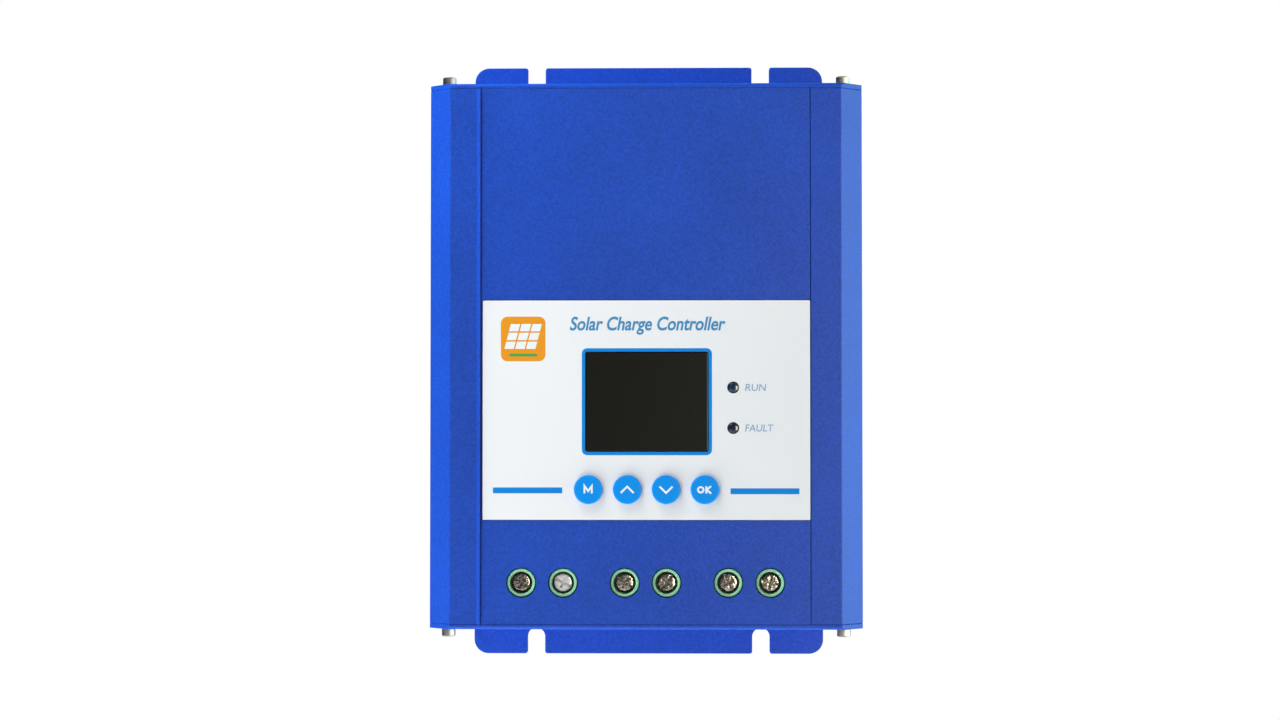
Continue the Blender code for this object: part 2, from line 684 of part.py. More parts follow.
def main():
    """Build every piece."""
    clear_scene()
    make_back_plate()
    make_rails()
    make_front_panel()
    make_end_plates()
    make_end_screws()
    make_label()
    make_display()
    make_lamps()
    make_keys()
    make_terminals()
    make_power_board()


main()
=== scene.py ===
"""Solar charge controller: finished surfaces, print, small parts and stage around the frame.

Lengths are in metres.  Shapes are drawn in the front's own axes: u to the right, v up, and h out
of the wall, towards someone who faces the front.  World X is u, world Z is v, world Y is -h.
"""

import logging
from abc import ABC, abstractmethod
from dataclasses import dataclass, field
from enum import Enum
from math import cos, pi, radians, sin, tau
from typing import Any, Callable, Iterable, Union

import bmesh
import bpy
from mathutils import Matrix, Vector

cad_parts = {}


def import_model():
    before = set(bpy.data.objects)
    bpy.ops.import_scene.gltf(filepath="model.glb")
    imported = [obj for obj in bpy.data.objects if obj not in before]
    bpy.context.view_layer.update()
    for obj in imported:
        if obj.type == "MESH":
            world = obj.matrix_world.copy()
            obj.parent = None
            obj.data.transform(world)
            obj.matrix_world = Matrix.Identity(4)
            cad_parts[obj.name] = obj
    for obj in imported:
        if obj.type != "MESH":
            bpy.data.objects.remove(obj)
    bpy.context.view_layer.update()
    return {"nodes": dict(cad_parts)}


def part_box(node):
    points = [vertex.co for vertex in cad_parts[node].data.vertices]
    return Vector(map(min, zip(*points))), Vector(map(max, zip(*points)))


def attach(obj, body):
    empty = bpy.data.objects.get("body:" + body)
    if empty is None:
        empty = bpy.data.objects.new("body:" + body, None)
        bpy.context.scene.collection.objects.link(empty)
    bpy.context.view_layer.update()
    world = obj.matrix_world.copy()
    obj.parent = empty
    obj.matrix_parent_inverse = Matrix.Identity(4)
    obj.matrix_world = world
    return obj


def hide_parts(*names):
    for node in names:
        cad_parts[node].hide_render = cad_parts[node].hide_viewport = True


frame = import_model()

LOG = logging.getLogger("controller")
MM = 0.001
CASE = "case"
CLEAR = 0.25 * MM                   # gap between neighbouring sheets
CHAMFER = (8.6 * MM, 8.0 * MM)      # slope along the case's front edges, across and out
PLATE_STEP = (3.0 * MM, 1.6 * MM)   # rebate behind the wall plate's sides, across and out
INK_RISE = 0.03 * MM                # how far print stands off its ground
CAP_HEIGHT = 0.682                  # height of the built-in font's capitals at size 1

Pair = tuple[float, float]
Triple = tuple[float, float, float]
Outline = list[Pair]
Ring = list[Triple]


# Node trees

class Value:
    """An output socket that takes part in Python sums, adding a Math node for each."""

    def __init__(self, graph: "Graph", socket: bpy.types.NodeSocket) -> None:
        """Wrap a socket of the graph."""
        self.graph = graph
        self.socket = socket

    def _maths(self, operation: str, first: Any, second: Any) -> "Value":
        """Add a Math node on two values and return its result."""
        node = self.graph.node("ShaderNodeMath", {0: first, 1: second}, operation=operation)
        return Value(self.graph, node.outputs[0])

    def __add__(self, other: Any) -> "Value":
        """Sum."""
        return self._maths("ADD", self, other)

    def __radd__(self, other: Any) -> "Value":
        """Sum with a number on the left."""
        return self._maths("ADD", other, self)

    def __sub__(self, other: Any) -> "Value":
        """Difference."""
        return self._maths("SUBTRACT", self, other)

    def __mul__(self, other: Any) -> "Value":
        """Product."""
        return self._maths("MULTIPLY", self, other)

    def __gt__(self, other: Any) -> "Value":
        """One where this value is the larger, else zero."""
        return self._maths("GREATER_THAN", self, other)

    def wave(self, turns: float) -> "Value":
        """Sine of this value, with so many turns for each unit."""
        return self._maths("SINE", self * (turns * tau), 0.0)


class Graph:
    """A node tree, for a material or a shape, with one way of adding a node."""

    def __init__(self, tree: bpy.types.NodeTree) -> None:
        """Hold the tree."""
        self.tree = tree

    def node(self, kind: str, inputs: Union[dict, None] = None,
             **settings: Any) -> bpy.types.Node:
        """Add a node.

        Args:
            kind: the node's type name.
            inputs: numbers, colours, nodes, sockets or Values by input name or number.
            **settings: the node's own properties.

        Returns:
            The new node.
        """
        made = self.tree.nodes.new(kind)
        for name, value in settings.items():
            setattr(made, name, value)
        self.feed_all(made, inputs or {})
        return made

    def feed_all(self, node: bpy.types.Node, values: dict) -> None:
        """Feed several inputs of a node, each by its name or number."""
        for key, value in values.items():
            self.feed(node.inputs[key], value)

    def feed(self, socket: bpy.types.NodeSocket, value: Any) -> None:
        """Link a node, socket or Value to an input, or set the input's own number."""
        if isinstance(value, Value):
            value = value.socket
        elif isinstance(value, bpy.types.Node):
            value = value.outputs[0]
        if isinstance(value, bpy.types.NodeSocket):
            self.tree.links.new(value, socket)
        else:
            socket.default_value = value


def shade(red: int, green: int, blue: int) -> Triple:
    """Turn a colour on the usual 0 to 255 scale into linear light."""
    parts = [part / 255 for part in (red, green, blue)]
    return tuple(p / 12.92 if p <= 0.04045 else ((p + 0.055) / 1.055) ** 2.4 for p in parts)


def scaled(colour: Triple, factor: float) -> tuple[float, float, float, float]:
    """Lighten or darken a colour, with full alpha."""
    return (*(min(1.0, part * factor) for part in colour), 1.0)


# Finishes

@dataclass(frozen=True)
class Finish(ABC):
    """What a surface is made of: one material, made on first use."""

    name: str
    slot: str
    colour: Triple
    roughness: float

    def material(self) -> bpy.types.Material:
        """Return this finish's material, making it the first time."""
        found = bpy.data.materials.get(self.name)
        if found:
            return found
        made = bpy.data.materials.new(self.name)
        made.use_nodes = True
        graph = Graph(made.node_tree)
        self.dress(graph, made.node_tree.nodes["Principled BSDF"])
        return made

    @abstractmethod
    def dress(self, graph: Graph, shader: bpy.types.Node) -> None:
        """Set up the shader's sockets."""

    def noise(self, graph: Graph, scale: float, detail: float = 2.0,
              stretch: Triple = (1.0, 1.0, 1.0)) -> Value:
        """Noise on the object's own coordinates.

        Args:
            graph: the material's graph.
            scale: grains in a metre.
            detail: octaves.
            stretch: factors on the three axes.

        Returns:
            Its value, centred on a half.
        """
        place = graph.node("ShaderNodeTexCoord").outputs["Object"]
        if stretch != (1.0, 1.0, 1.0):
            place = graph.node("ShaderNodeMapping", {"Vector": place, "Scale": stretch})
        made = graph.node("ShaderNodeTexNoise",
                          {"Vector": place, "Scale": scale, "Detail": detail})
        return Value(graph, made.outputs[0])

    def tint(self, graph: Graph, shader: bpy.types.Node, amount: Value, spread: float) -> None:
        """Vary Base Color about this finish's colour by a share each way; amount is 0 to 1."""
        mixed = graph.node("ShaderNodeMix", {0: amount, 6: scaled(self.colour, 1 - spread),
                                             7: scaled(self.colour, 1 + spread)},
                           data_type="RGBA")
        graph.feed(shader.inputs["Base Color"], mixed.outputs[2])

    def roughen(self, graph: Graph, shader: bpy.types.Node, amount: Value, spread: float) -> None:
        """Vary Roughness about this finish's own by so much each way; amount is 0 to 1."""
        graph.feed(shader.inputs["Roughness"], amount * (2 * spread) + (self.roughness - spread))

    def relief(self, graph: Graph, shader: bpy.types.Node, height: Value, depth: float,
               strength: float = 1.0) -> None:
        """Feed a height into Bump and on to Normal; depth is in metres."""
        bump = graph.node("ShaderNodeBump",
                          {"Height": height, "Distance": depth, "Strength": strength})
        graph.feed(shader.inputs["Normal"], bump)


@dataclass(frozen=True)
class TexturedCoat(Finish):
    """Powder coating: sandy grain over a slow drift of tone."""

    grain: float = 1100.0
    grain_depth: float = 0.00012
    drift: float = 26.0
    peel: float = 260.0
    spread: float = 0.24
    sheen_level: float = 0.28

    def dress(self, graph: Graph, shader: bpy.types.Node) -> None:
        """Grain in colour, roughness and relief."""
        fine = self.noise(graph, self.grain, 3.0)
        drift = self.noise(graph, self.drift, 2.0)
        orange_peel = self.noise(graph, self.peel, 1.0)
        self.tint(graph, shader, fine * 2.0 + drift * 0.7 - 0.85, self.spread)
        self.roughen(graph, shader, fine, 0.09)
        self.relief(graph, shader, fine + orange_peel * 0.8, self.grain_depth)
        shader.inputs["Specular IOR Level"].default_value = self.sheen_level


@dataclass(frozen=True)
class Film(Finish):
    """Printed film or ink: even, with a faint grain."""

    grain: float = 1500.0
    grain_depth: float = 0.00001
    drift: float = 30.0
    spread: float = 0.015
    sheen_level: float = 0.3

    def dress(self, graph: Graph, shader: bpy.types.Node) -> None:
        """Faint grain in tone and relief."""
        fine = self.noise(graph, self.grain, 2.0)
        drift = self.noise(graph, self.drift, 1.0)
        self.tint(graph, shader, fine * 0.5 + drift * 0.5, self.spread)
        self.roughen(graph, shader, drift, 0.05)
        self.relief(graph, shader, fine, self.grain_depth, 0.5)
        shader.inputs["Specular IOR Level"].default_value = self.sheen_level


@dataclass(frozen=True)
class Moulded(Finish):
    """Moulded plastic: soft mottling, fine spark-eroded texture, and some depth of light."""

    grain: float = 1400.0
    grain_depth: float = 0.00002
    cloud: float = 120.0
    spread: float = 0.05
    glow: float = 0.0
    clarity: float = 0.0
    sheen_level: float = 0.5

    def dress(self, graph: Graph, shader: bpy.types.Node) -> None:
        """Mottled tone, textured roughness, constant subsurface and coat."""
        fine = self.noise(graph, self.grain, 2.0)
        self.tint(graph, shader, self.noise(graph, self.cloud, 2.0), self.spread)
        self.roughen(graph, shader, fine, 0.06)
        self.relief(graph, shader, fine, self.grain_depth)
        graph.feed_all(shader, {"Subsurface Weight": self.glow, "Subsurface Scale": 2.0 * MM,
                                "Subsurface Radius": (1.0, 1.0, 1.0),
                                "Specular IOR Level": self.sheen_level,
                                "Coat Weight": self.clarity, "Coat Roughness": 0.08})


@dataclass(frozen=True)
class Metal(Finish):
    """Bare or plated metal: turning rings where a piece has them, and fine scratches."""

    rings: float = 0.0
    scratch: Triple = (1.0, 1.0, 1.0)
    spread: float = 0.10
    dents: float = 0.0
    plating: float = 1.0
    line_depth: float = 0.00003
    line_scale: float = 700.0
    stain_scale: float = 160.0
    dent_scale: float = 900.0

    def dress(self, graph: Graph, shader: bpy.types.Node) -> None:
        """Metallic, with scratches and rings in roughness and relief."""
        lines = self.noise(graph, self.line_scale, 3.0, self.scratch)
        stain = self.noise(graph, self.stain_scale, 3.0)
        self.tint(graph, shader, stain, self.spread)
        shader.inputs["Metallic"].default_value = self.plating
        height = lines
        if self.rings:
            radius = graph.node("ShaderNodeAttribute", attribute_name="radius")
            height = Value(graph, radius.outputs["Fac"]).wave(self.rings) * 0.3 + lines * 0.7
        graph.feed(shader.inputs["Roughness"],
                   lines * 0.16 + stain * 0.12 + (self.roughness - 0.14))
        if self.dents:
            dented = self.noise(graph, self.dent_scale, 1.0)
            height = height * 0.1 + dented * (self.dents / self.line_depth)
        self.relief(graph, shader, height, self.line_depth, 0.6)


@dataclass(frozen=True)
class Laminate(Finish):
    """Circuit board: solder mask with tracks under it and a weave."""

    scale: float = 147.0
    weave_scale: float = 900.0
    track_depth: float = 0.00003

    def dress(self, graph: Graph, shader: bpy.types.Node) -> None:
        """Tracks as lighter bands, bent by a slow cell pattern."""
        place = graph.node("ShaderNodeTexCoord").outputs["Object"]
        cells = graph.node("ShaderNodeTexVoronoi",
                           {"Vector": place, "Scale": self.scale, "Randomness": 0.7},
                           distance="MANHATTAN")
        tracks = Value(graph, cells.outputs["Distance"]).wave(2.5) > 0.1
        weave = self.noise(graph, self.weave_scale, 1.0)
        self.tint(graph, shader, tracks * 0.7 + weave * 0.3, 0.45)
        graph.feed(shader.inputs["Roughness"], self.roughness + tracks * 0.08)
        self.relief(graph, shader, tracks, self.track_depth)


@dataclass(frozen=True)
class Ribbon(Finish):
    """Flat cable: parallel wires side by side."""

    pitch: float = 1.27 * MM
    wire_depth: float = 0.2 * MM

    def dress(self, graph: Graph, shader: bpy.types.Node) -> None:
        """Rounded wires across the cable's width, with painted shade between the wires and a
        painted highlight on each crown.
        """
        place = graph.node("ShaderNodeTexCoord").outputs["Object"]
        axes = graph.node("ShaderNodeSeparateXYZ", {0: place})
        wires = Value(graph, axes.outputs[0]).wave(1 / self.pitch) * 0.5 + 0.5
        # The tint follows the wires' relief: painted shade in the grooves, painted highlight on the
        # crowns.
        self.tint(graph, shader, wires, 0.18)
        graph.feed(shader.inputs["Roughness"], self.noise(graph, 600.0) * 0.1 + self.roughness)
        self.relief(graph, shader, wires, self.wire_depth)


@dataclass(frozen=True)
class PaleFloor(Finish):
    """Evenly lit studio floor."""

    glow: float = 0.42

    def dress(self, graph: Graph, shader: bpy.types.Node) -> None:
        """Faint drift of tone, and light of its own."""
        self.tint(graph, shader, self.noise(graph, 3.0), 0.02)
        graph.feed_all(shader, {"Roughness": self.roughness,
                                "Emission Color": (1.0, 1.0, 1.0, 1.0),
                                "Emission Strength": self.glow})


class Finishes(Enum):
    """Every finish on the controller, and the floor's."""

    COAT = TexturedCoat("blue_coat", "blue_coating", shade(9, 69, 180), 0.54)
    FILM = Film("label_film", "white_film", shade(248, 249, 252), 0.42)
    INK = Film("light_blue_ink", "key_blue", shade(14, 140, 228), 0.40, sheen_level=0.12)
    TITLE_INK = Film("title_ink", "key_blue", shade(62, 146, 196), 0.42)
    LEGEND_INK = Film("legend_ink", "key_blue", shade(128, 168, 208), 0.42)
    WHITE_INK = Film("white_ink", "white_film", shade(245, 250, 252), 0.40)
    AMBER_INK = Film("amber_ink", "white_film", shade(245, 158, 30), 0.40)
    GREEN_INK = Film("green_ink", "white_film", shade(52, 176, 84), 0.40)
    WINDOW = Moulded("display_window", "black_window", shade(11, 11, 10), 0.38, spread=0.03,
                     sheen_level=0.3, grain_depth=0.000002)
    KEY = Moulded("key_plastic", "key_blue", shade(6, 150, 244), 0.42, spread=0.02,
                  sheen_level=0.15)
    RUN_LAMP = Moulded("run_lamp_lens", "smoked_lens", shade(22, 48, 74), 0.22, clarity=0.6)
    FAULT_LAMP = Moulded("fault_lamp_lens", "smoked_lens", shade(30, 28, 62), 0.22, clarity=0.6)
    COLLAR = Moulded("block_plastic", "pale_green", shade(158, 236, 184), 0.42, glow=0.12)
    BLACK = Moulded("black_plastic", "black_plastic", shade(30, 30, 32), 0.5)
    CERAMIC = Moulded("chip_ceramic", "can_sleeve", shade(150, 120, 88), 0.45, spread=0.3)
    SLEEVE = Moulded("can_sleeve", "can_sleeve", shade(34, 38, 52), 0.38)
    STEEL = Metal("end_screw_steel", "grey_steel", shade(168, 164, 162), 0.52, rings=2600.0)
    # Painted highlight: a near-white, mostly matt copy of the screw nickel, standing in for a
    # light's reflection on one pole's screw.
    NICKEL = Metal("nickel_painted_highlight", "nickel", shade(246, 242, 242), 0.32, rings=1900.0,
                   dents=0.0004, plating=0.15)
    AGED_NICKEL = Metal("aged_nickel", "nickel", shade(176, 168, 162), 0.26, rings=1900.0,
                        spread=0.5, dents=0.0005)
    BRASS = Metal("cage_brass", "brass_cage", shade(212, 178, 104), 0.36)
    TINNED = Metal("tinned_copper", "tinned_copper", shade(206, 200, 190), 0.34)
    ALUMINIUM = Metal("drawn_aluminium", "bare_aluminium", shade(206, 208, 212), 0.40,
                      scratch=(1.0, 1.0, 0.03))
    COPPER = Metal("enamelled_wire", "enamelled_copper", shade(196, 104, 50), 0.30)
    BOARD = Laminate("solder_mask", "board_green", shade(28, 104, 62), 0.38)
    RIBBON = Ribbon("flat_cable", "grey_ribbon", shade(158, 160, 164), 0.50)
    FLOOR = PaleFloor("floor_paint", "", shade(236, 236, 238), 0.8)


# Outlines and solids

def arc(centre: Pair, radius: float, start: float, end: float, steps: int) -> Outline:
    """Points on an arc, from one angle in degrees to another."""
    turns = [radians(start + (end - start) * step / steps) for step in range(steps + 1)]
    return [(centre[0] + radius * cos(t), centre[1] + radius * sin(t)) for t in turns]


def rectangle(width: float, height: float, centre: Pair = (0.0, 0.0),
              corner: float = 0.0, steps: int = 6) -> Outline:
    """A rectangle with round corners, anticlockwise."""
    if not corner:
        corner, steps = 1e-5, 1
    reach = (width / 2 - corner, height / 2 - corner)
    points = []
    for turn, (u, v) in enumerate(((1, -1), (1, 1), (-1, 1), (-1, -1))):
        at = (centre[0] + u * reach[0], centre[1] + v * reach[1])
        points += arc(at, corner, 90 * turn - 90, 90 * turn, steps)
    return points


def disc(radius: float, sides: int, centre: Pair = (0.0, 0.0)) -> Outline:
    """Points all the way round a circle."""
    return arc(centre, radius, 0, 360, sides)[:-1]


def rim(reach: float, drop: float, steps: int) -> Outline:
    """A rounded rim from its side up: how far each point has drawn in and lies under the top."""
    angles = [pi / 2 * step / steps for step in range(steps + 1)]
    return [(reach * (1 - cos(angle)), drop * (1 - sin(angle))) for angle in angles]


class Axis(Enum):
    """The direction in which an outline is drawn out."""

    ACROSS = "u"
    UP = "v"
    OUT = "h"

    def lift(self, a: float, b: float, c: float) -> Triple:
        """Place an outline's point (a, b), at c along this axis, in (u, v, h)."""
        return {"u": (c, a, b), "v": (a, c, b), "h": (a, b, c)}[self.value]


@dataclass
class Shell:
    """One closed skin through rings of points."""

    rings: list[Ring]
    closed: bool = False


def prism(outline: Outline, low: float, high: float, along: Axis = Axis.OUT) -> Shell:
    """Draw an outline out from low to high."""
    return Shell([[along.lift(a, b, c) for a, b in outline] for c in (low, high)])


def turned(profile: Outline, centre: Pair = (0.0, 0.0), along: Axis = Axis.OUT,
           sides: int = 64) -> Shell:
    """Spin a profile of (radius, place) about an axis through centre."""
    return Shell([[along.lift(a, b, place) for a, b in disc(radius, sides, centre)]
                  for radius, place in profile])


def drum(radius: float, low: float, high: float, centre: Pair = (0.0, 0.0),
         along: Axis = Axis.OUT, sides: int = 64) -> Shell:
    """A plain round bar, as a cutter."""
    return turned([(radius, low), (radius, high)], centre, along, sides)


def world(point: Triple) -> Vector:
    """Turn a point in (u, v, h) into world axes."""
    u, v, h = point
    return Vector((u, -h, v))


def mesh_of(shells: Iterable[Shell]) -> bpy.types.Mesh:
    """Build a mesh in world axes from closed shells, with its faces pointing out."""
    shape = bmesh.new()
    for shell in shells:
        size = len(shell.rings[0])
        rings = [[shape.verts.new(world(point)) for point in ring] for ring in shell.rings]
        following = rings[1:] + rings[:1] if shell.closed else rings[1:]
        for low, high in zip(rings, following):
            for step in range(size):
                after = (step + 1) % size
                shape.faces.new((low[step], low[after], high[after], high[step]))
        if not shell.closed:
            shape.faces.new(rings[0])
            shape.faces.new(rings[-1])
    bmesh.ops.recalc_face_normals(shape, faces=shape.faces)
    mesh = bpy.data.meshes.new("shape")
    shape.to_mesh(mesh)
    shape.free()
    return mesh


def settled(mesh: bpy.types.Mesh, prepare: Callable[[bpy.types.Object], None]) -> bpy.types.Mesh:
    """Apply modifiers to a mesh.

    Args:
        mesh: the mesh to start from.
        prepare: adds the modifiers to the object that it is given.

    Returns:
        The result as a plain mesh.
    """
    carrier = bpy.data.objects.new("carrier", mesh)
    bpy.context.collection.objects.link(carrier)
    prepare(carrier)
    depsgraph = bpy.context.evaluated_depsgraph_get()
    result = bpy.data.meshes.new_from_object(carrier.evaluated_get(depsgraph),
                                             preserve_all_data_layers=True, depsgraph=depsgraph)
    bpy.data.objects.remove(carrier)
    return result


class Solid:
    """A piece under construction, with Blender's own modelling tools as its methods."""

    def __init__(self, *shells: Shell) -> None:
        """Start from closed shells."""
        self.mesh = mesh_of(shells)

    @classmethod
    def of_node(cls, node: str) -> "Solid":
        """Start from a copy of a CAD node, with its loose triangles joined into clean faces."""
        solid = cls()
        shape = bmesh.new()
        shape.from_mesh(frame["nodes"][node].data)
        bmesh.ops.remove_doubles(shape, verts=shape.verts, dist=0.00001)
        bmesh.ops.dissolve_limit(shape, angle_limit=radians(0.5), verts=shape.verts,
                                 edges=shape.edges)
        shape.to_mesh(solid.mesh)
        shape.free()
        solid.mesh.materials.clear()
        return solid

    def _combine(self, operation: str, mesh: bpy.types.Mesh) -> "Solid":
        """Apply one exact Boolean with a mesh whose parts don't touch each other."""
        tool = bpy.data.objects.new("tool", mesh)
        bpy.context.collection.objects.link(tool)

        def prepare(carrier: bpy.types.Object) -> None:
            """Add the Boolean."""
            boolean = carrier.modifiers.new("Boolean", "BOOLEAN")
            boolean.operation = operation
            boolean.object = tool

        self.mesh = settled(self.mesh, prepare)
        bpy.data.objects.remove(tool)
        return self

    def cut(self, *shells: Shell) -> "Solid":
        """Take shells away."""
        return self._combine("DIFFERENCE", mesh_of(shells))

    def join(self, *shells: Shell) -> "Solid":
        """Weld shells on."""
        return self._combine("UNION", mesh_of(shells))

    def cut_by(self, other: "Solid") -> "Solid":
        """Take another solid away."""
        return self._combine("DIFFERENCE", other.mesh)

    def broken_edges(self, width: float, segments: int = 3, angle: float = 35.0) -> "Solid":
        """Round every edge sharper than angle degrees."""
        def prepare(carrier: bpy.types.Object) -> None:
            """Add the bevel."""
            bevel = carrier.modifiers.new("Bevel", "BEVEL")
            bevel.width = width
            bevel.segments = segments
            bevel.limit_method = "ANGLE"
            bevel.angle_limit = radians(angle)
            bevel.miter_outer = "MITER_ARC"

        self.mesh = settled(self.mesh, prepare)
        return self

    def with_radius(self, centre: Pair, along: Axis = Axis.OUT) -> "Solid":
        """Store each point's distance from an axis, for finishes with turning rings."""
        layer = self.mesh.attributes.new("radius", "FLOAT", "POINT")
        for vertex, item in zip(self.mesh.vertices, layer.data):
            u, v, h = vertex.co.x, vertex.co.z, -vertex.co.y
            a, b = {Axis.OUT: (u, v), Axis.UP: (u, h), Axis.ACROSS: (v, h)}[along]
            item.value = ((a - centre[0]) ** 2 + (b - centre[1]) ** 2) ** 0.5
        return self

    def piece(self, name: str, finish: Finishes, body: str = CASE,
              replaces: Iterable[str] = ()) -> bpy.types.Object:
        """Finish the mesh and hang it on the frame.

        Args:
            name: the piece's name.
            finish: its finish.
            body: the CAD body that it rides on.
            replaces: CAD nodes that it stands for.

        Returns:
            The object.
        """
        self.mesh.shade_smooth()
        self.mesh.set_sharp_from_angle(angle=radians(50))

        def prepare(carrier: bpy.types.Object) -> None:
            """Keep flat faces flat beside rounded edges."""
            weighted = carrier.modifiers.new("Weighted", "WEIGHTED_NORMAL")
            weighted.keep_sharp = True

        return hang(name, settled(self.mesh, prepare), finish, body, replaces)


def hang(name: str, mesh: bpy.types.Mesh, finish: Finishes, body: str = CASE,
         replaces: Iterable[str] = ()) -> bpy.types.Object:
    """Make a mesh a named piece with one finish, riding on a body."""
    mesh.name = name
    mesh.materials.clear()
    mesh.materials.append(finish.value.material())
    piece = bpy.data.objects.new(name, mesh)
    bpy.context.collection.objects.link(piece)
    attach(piece, body)
    if replaces:
        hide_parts(*replaces)
    LOG.info("%s on %s: %d faces", name, body, len(mesh.polygons))
    return piece


def refine_node(node: str, name: str, finish: Finishes, width: float, body: str = CASE) -> None:
    """Stand in for a CAD node with its own shape, its edges broken by width."""
    Solid.of_node(node).broken_edges(width).piece(name, finish, body, [node])


def dress_node(name: str, finish: Finishes) -> None:
    """Show a CAD node as it is, in a new finish."""
    node = frame["nodes"][name]
    node.data.materials.clear()
    node.data.materials.append(finish.value.material())
    LOG.info("%s shown from the frame", name)


@dataclass(frozen=True)
class Extent:
    """A CAD node's box in the front's axes."""

    u: Pair
    v: Pair
    h: Pair

    @classmethod
    def of(cls, node: str) -> "Extent":
        """Read the node's box."""
        low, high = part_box(node)
        return cls((low.x, high.x), (low.z, high.z), (-high.y, -low.y))

    @property
    def centre(self) -> Pair:
        """The middle of the node as seen from the front."""
        return ((self.u[0] + self.u[1]) / 2, (self.v[0] + self.v[1]) / 2)

    @property
    def size(self) -> Pair:
        """Width and height as seen from the front."""
        return (self.u[1] - self.u[0], self.v[1] - self.v[0])


# Copies set out by Geometry Nodes

@dataclass
class Copies(ABC):
    """A Geometry Nodes tree that sets out copies of one shape, and the inputs that it names."""

    name: str
    inputs: dict[str, tuple[str, Any]] = field(default_factory=dict)

    @abstractmethod
    def points(self, graph: Graph, given: bpy.types.Node) -> tuple[Any, Any]:
        """Return the points that the copies stand on, and each copy's turn."""

    def tree(self) -> bpy.types.NodeTree:
        """Return the tree, with its named inputs, made the first time."""
        found = bpy.data.node_groups.get(self.name)
        if found:
            return found
        tree = bpy.data.node_groups.new(self.name, "GeometryNodeTree")
        sockets = {"Geometry": "Geometry", "Shape": "Object", "Finish": "Material"}
        sockets |= {name: kind for name, (kind, _) in self.inputs.items()}
        for name, kind in sockets.items():
            tree.interface.new_socket(name, in_out="INPUT", socket_type=f"NodeSocket{kind}")
        tree.interface.new_socket("Geometry", in_out="OUTPUT", socket_type="NodeSocketGeometry")
        graph = Graph(tree)
        given = graph.node("NodeGroupInput")
        shape = graph.node("GeometryNodeObjectInfo", {"Object": given.outputs["Shape"]})
        points, turn = self.points(graph, given)
        placed = graph.node("GeometryNodeInstanceOnPoints",
                            {"Points": points, "Instance": shape.outputs["Geometry"],
                             "Rotation": graph.node("FunctionNodeEulerToRotation", {0: turn})})
        real = graph.node("GeometryNodeRealizeInstances", {"Geometry": placed})
        dressed = graph.node("GeometryNodeSetMaterial",
                             {"Geometry": real, "Material": given.outputs["Finish"]})
        graph.node("NodeGroupOutput", {"Geometry": dressed})
        return tree

    def of(self, solid: "Solid", finish: Finishes,
           ground: Union[bpy.types.Mesh, None] = None) -> "Solid":
        """Set out copies of a solid.

        Args:
            solid: the shape to repeat.
            finish: its finish.
            ground: a mesh whose points or faces carry the copies, where the tree needs one.

        Returns:
            One solid that holds every copy.
        """
        prototype = bpy.data.objects.new("prototype", solid.mesh)
        bpy.context.collection.objects.link(prototype)
        given = {"Shape": prototype, "Finish": finish.value.material()}
        given |= {name: value for name, (_, value) in self.inputs.items()}

        def prepare(carrier: bpy.types.Object) -> None:
            """Add the modifier and set its inputs by their identifiers."""
            nodes = carrier.modifiers.new(self.name, "NODES")
            nodes.node_group = self.tree()
            for item in nodes.node_group.interface.items_tree:
                if item.in_out == "INPUT" and item.name in given:
                    nodes[item.identifier] = given[item.name]

        result = Solid()
        result.mesh = settled(ground or bpy.data.meshes.new("ground"), prepare)
        bpy.data.objects.remove(prototype)
        return result


class Row(Copies):
    """Copies along a straight line, centred on the shape's own place."""

    def __init__(self, count: int, step: Triple) -> None:
        """Set the count and the step from one copy to the next, in world axes."""
        start = tuple(-part * (count - 1) / 2 for part in step)
        super().__init__("row", {"Count": ("Int", count), "Start": ("Vector", start),
                                 "Step": ("Vector", step)})

    def points(self, graph: Graph, given: bpy.types.Node) -> tuple[Any, Any]:
        """A mesh line."""
        line = graph.node("GeometryNodeMeshLine",
                          {"Count": given.outputs["Count"],
                           "Start Location": given.outputs["Start"],
                           "Offset": given.outputs["Step"]})
        return line, (0.0, 0.0, 0.0)


class Circle(Copies):
    """Copies round a circle that faces the front, each turned with its place."""

    def __init__(self, count: int, radius: float) -> None:
        """Set the count and the circle's radius."""
        super().__init__("circle", {"Count": ("Int", count), "Radius": ("Float", radius),
                                    "Turn": ("Float", tau / count)})

    def points(self, graph: Graph, given: bpy.types.Node) -> tuple[Any, Any]:
        """Points placed by their own number."""
        index = Value(graph, graph.node("GeometryNodeInputIndex").outputs[0])
        angle = index * Value(graph, given.outputs["Turn"])
        radius = Value(graph, given.outputs["Radius"])
        across, up = (radius * (angle + shift).wave(1 / tau) for shift in (pi / 2, 0.0))
        place = graph.node("ShaderNodeCombineXYZ", {0: across, 2: up})
        turn = graph.node("ShaderNodeCombineXYZ", {1: angle * -1.0})
        spots = graph.node("GeometryNodePoints",
                           {"Count": given.outputs["Count"], "Position": place})
        return spots, turn


class Spots(Copies):
    """A copy on each point of a mesh, all turned alike."""

    def __init__(self, turn: Triple = (0.0, 0.0, 0.0)) -> None:
        """Set the turn of every copy."""
        super().__init__("spots", {"Turn": ("Vector", turn)})

    def points(self, graph: Graph, given: bpy.types.Node) -> tuple[Any, Any]:
        """The carrier's own points."""
        return given.outputs["Geometry"], given.outputs["Turn"]


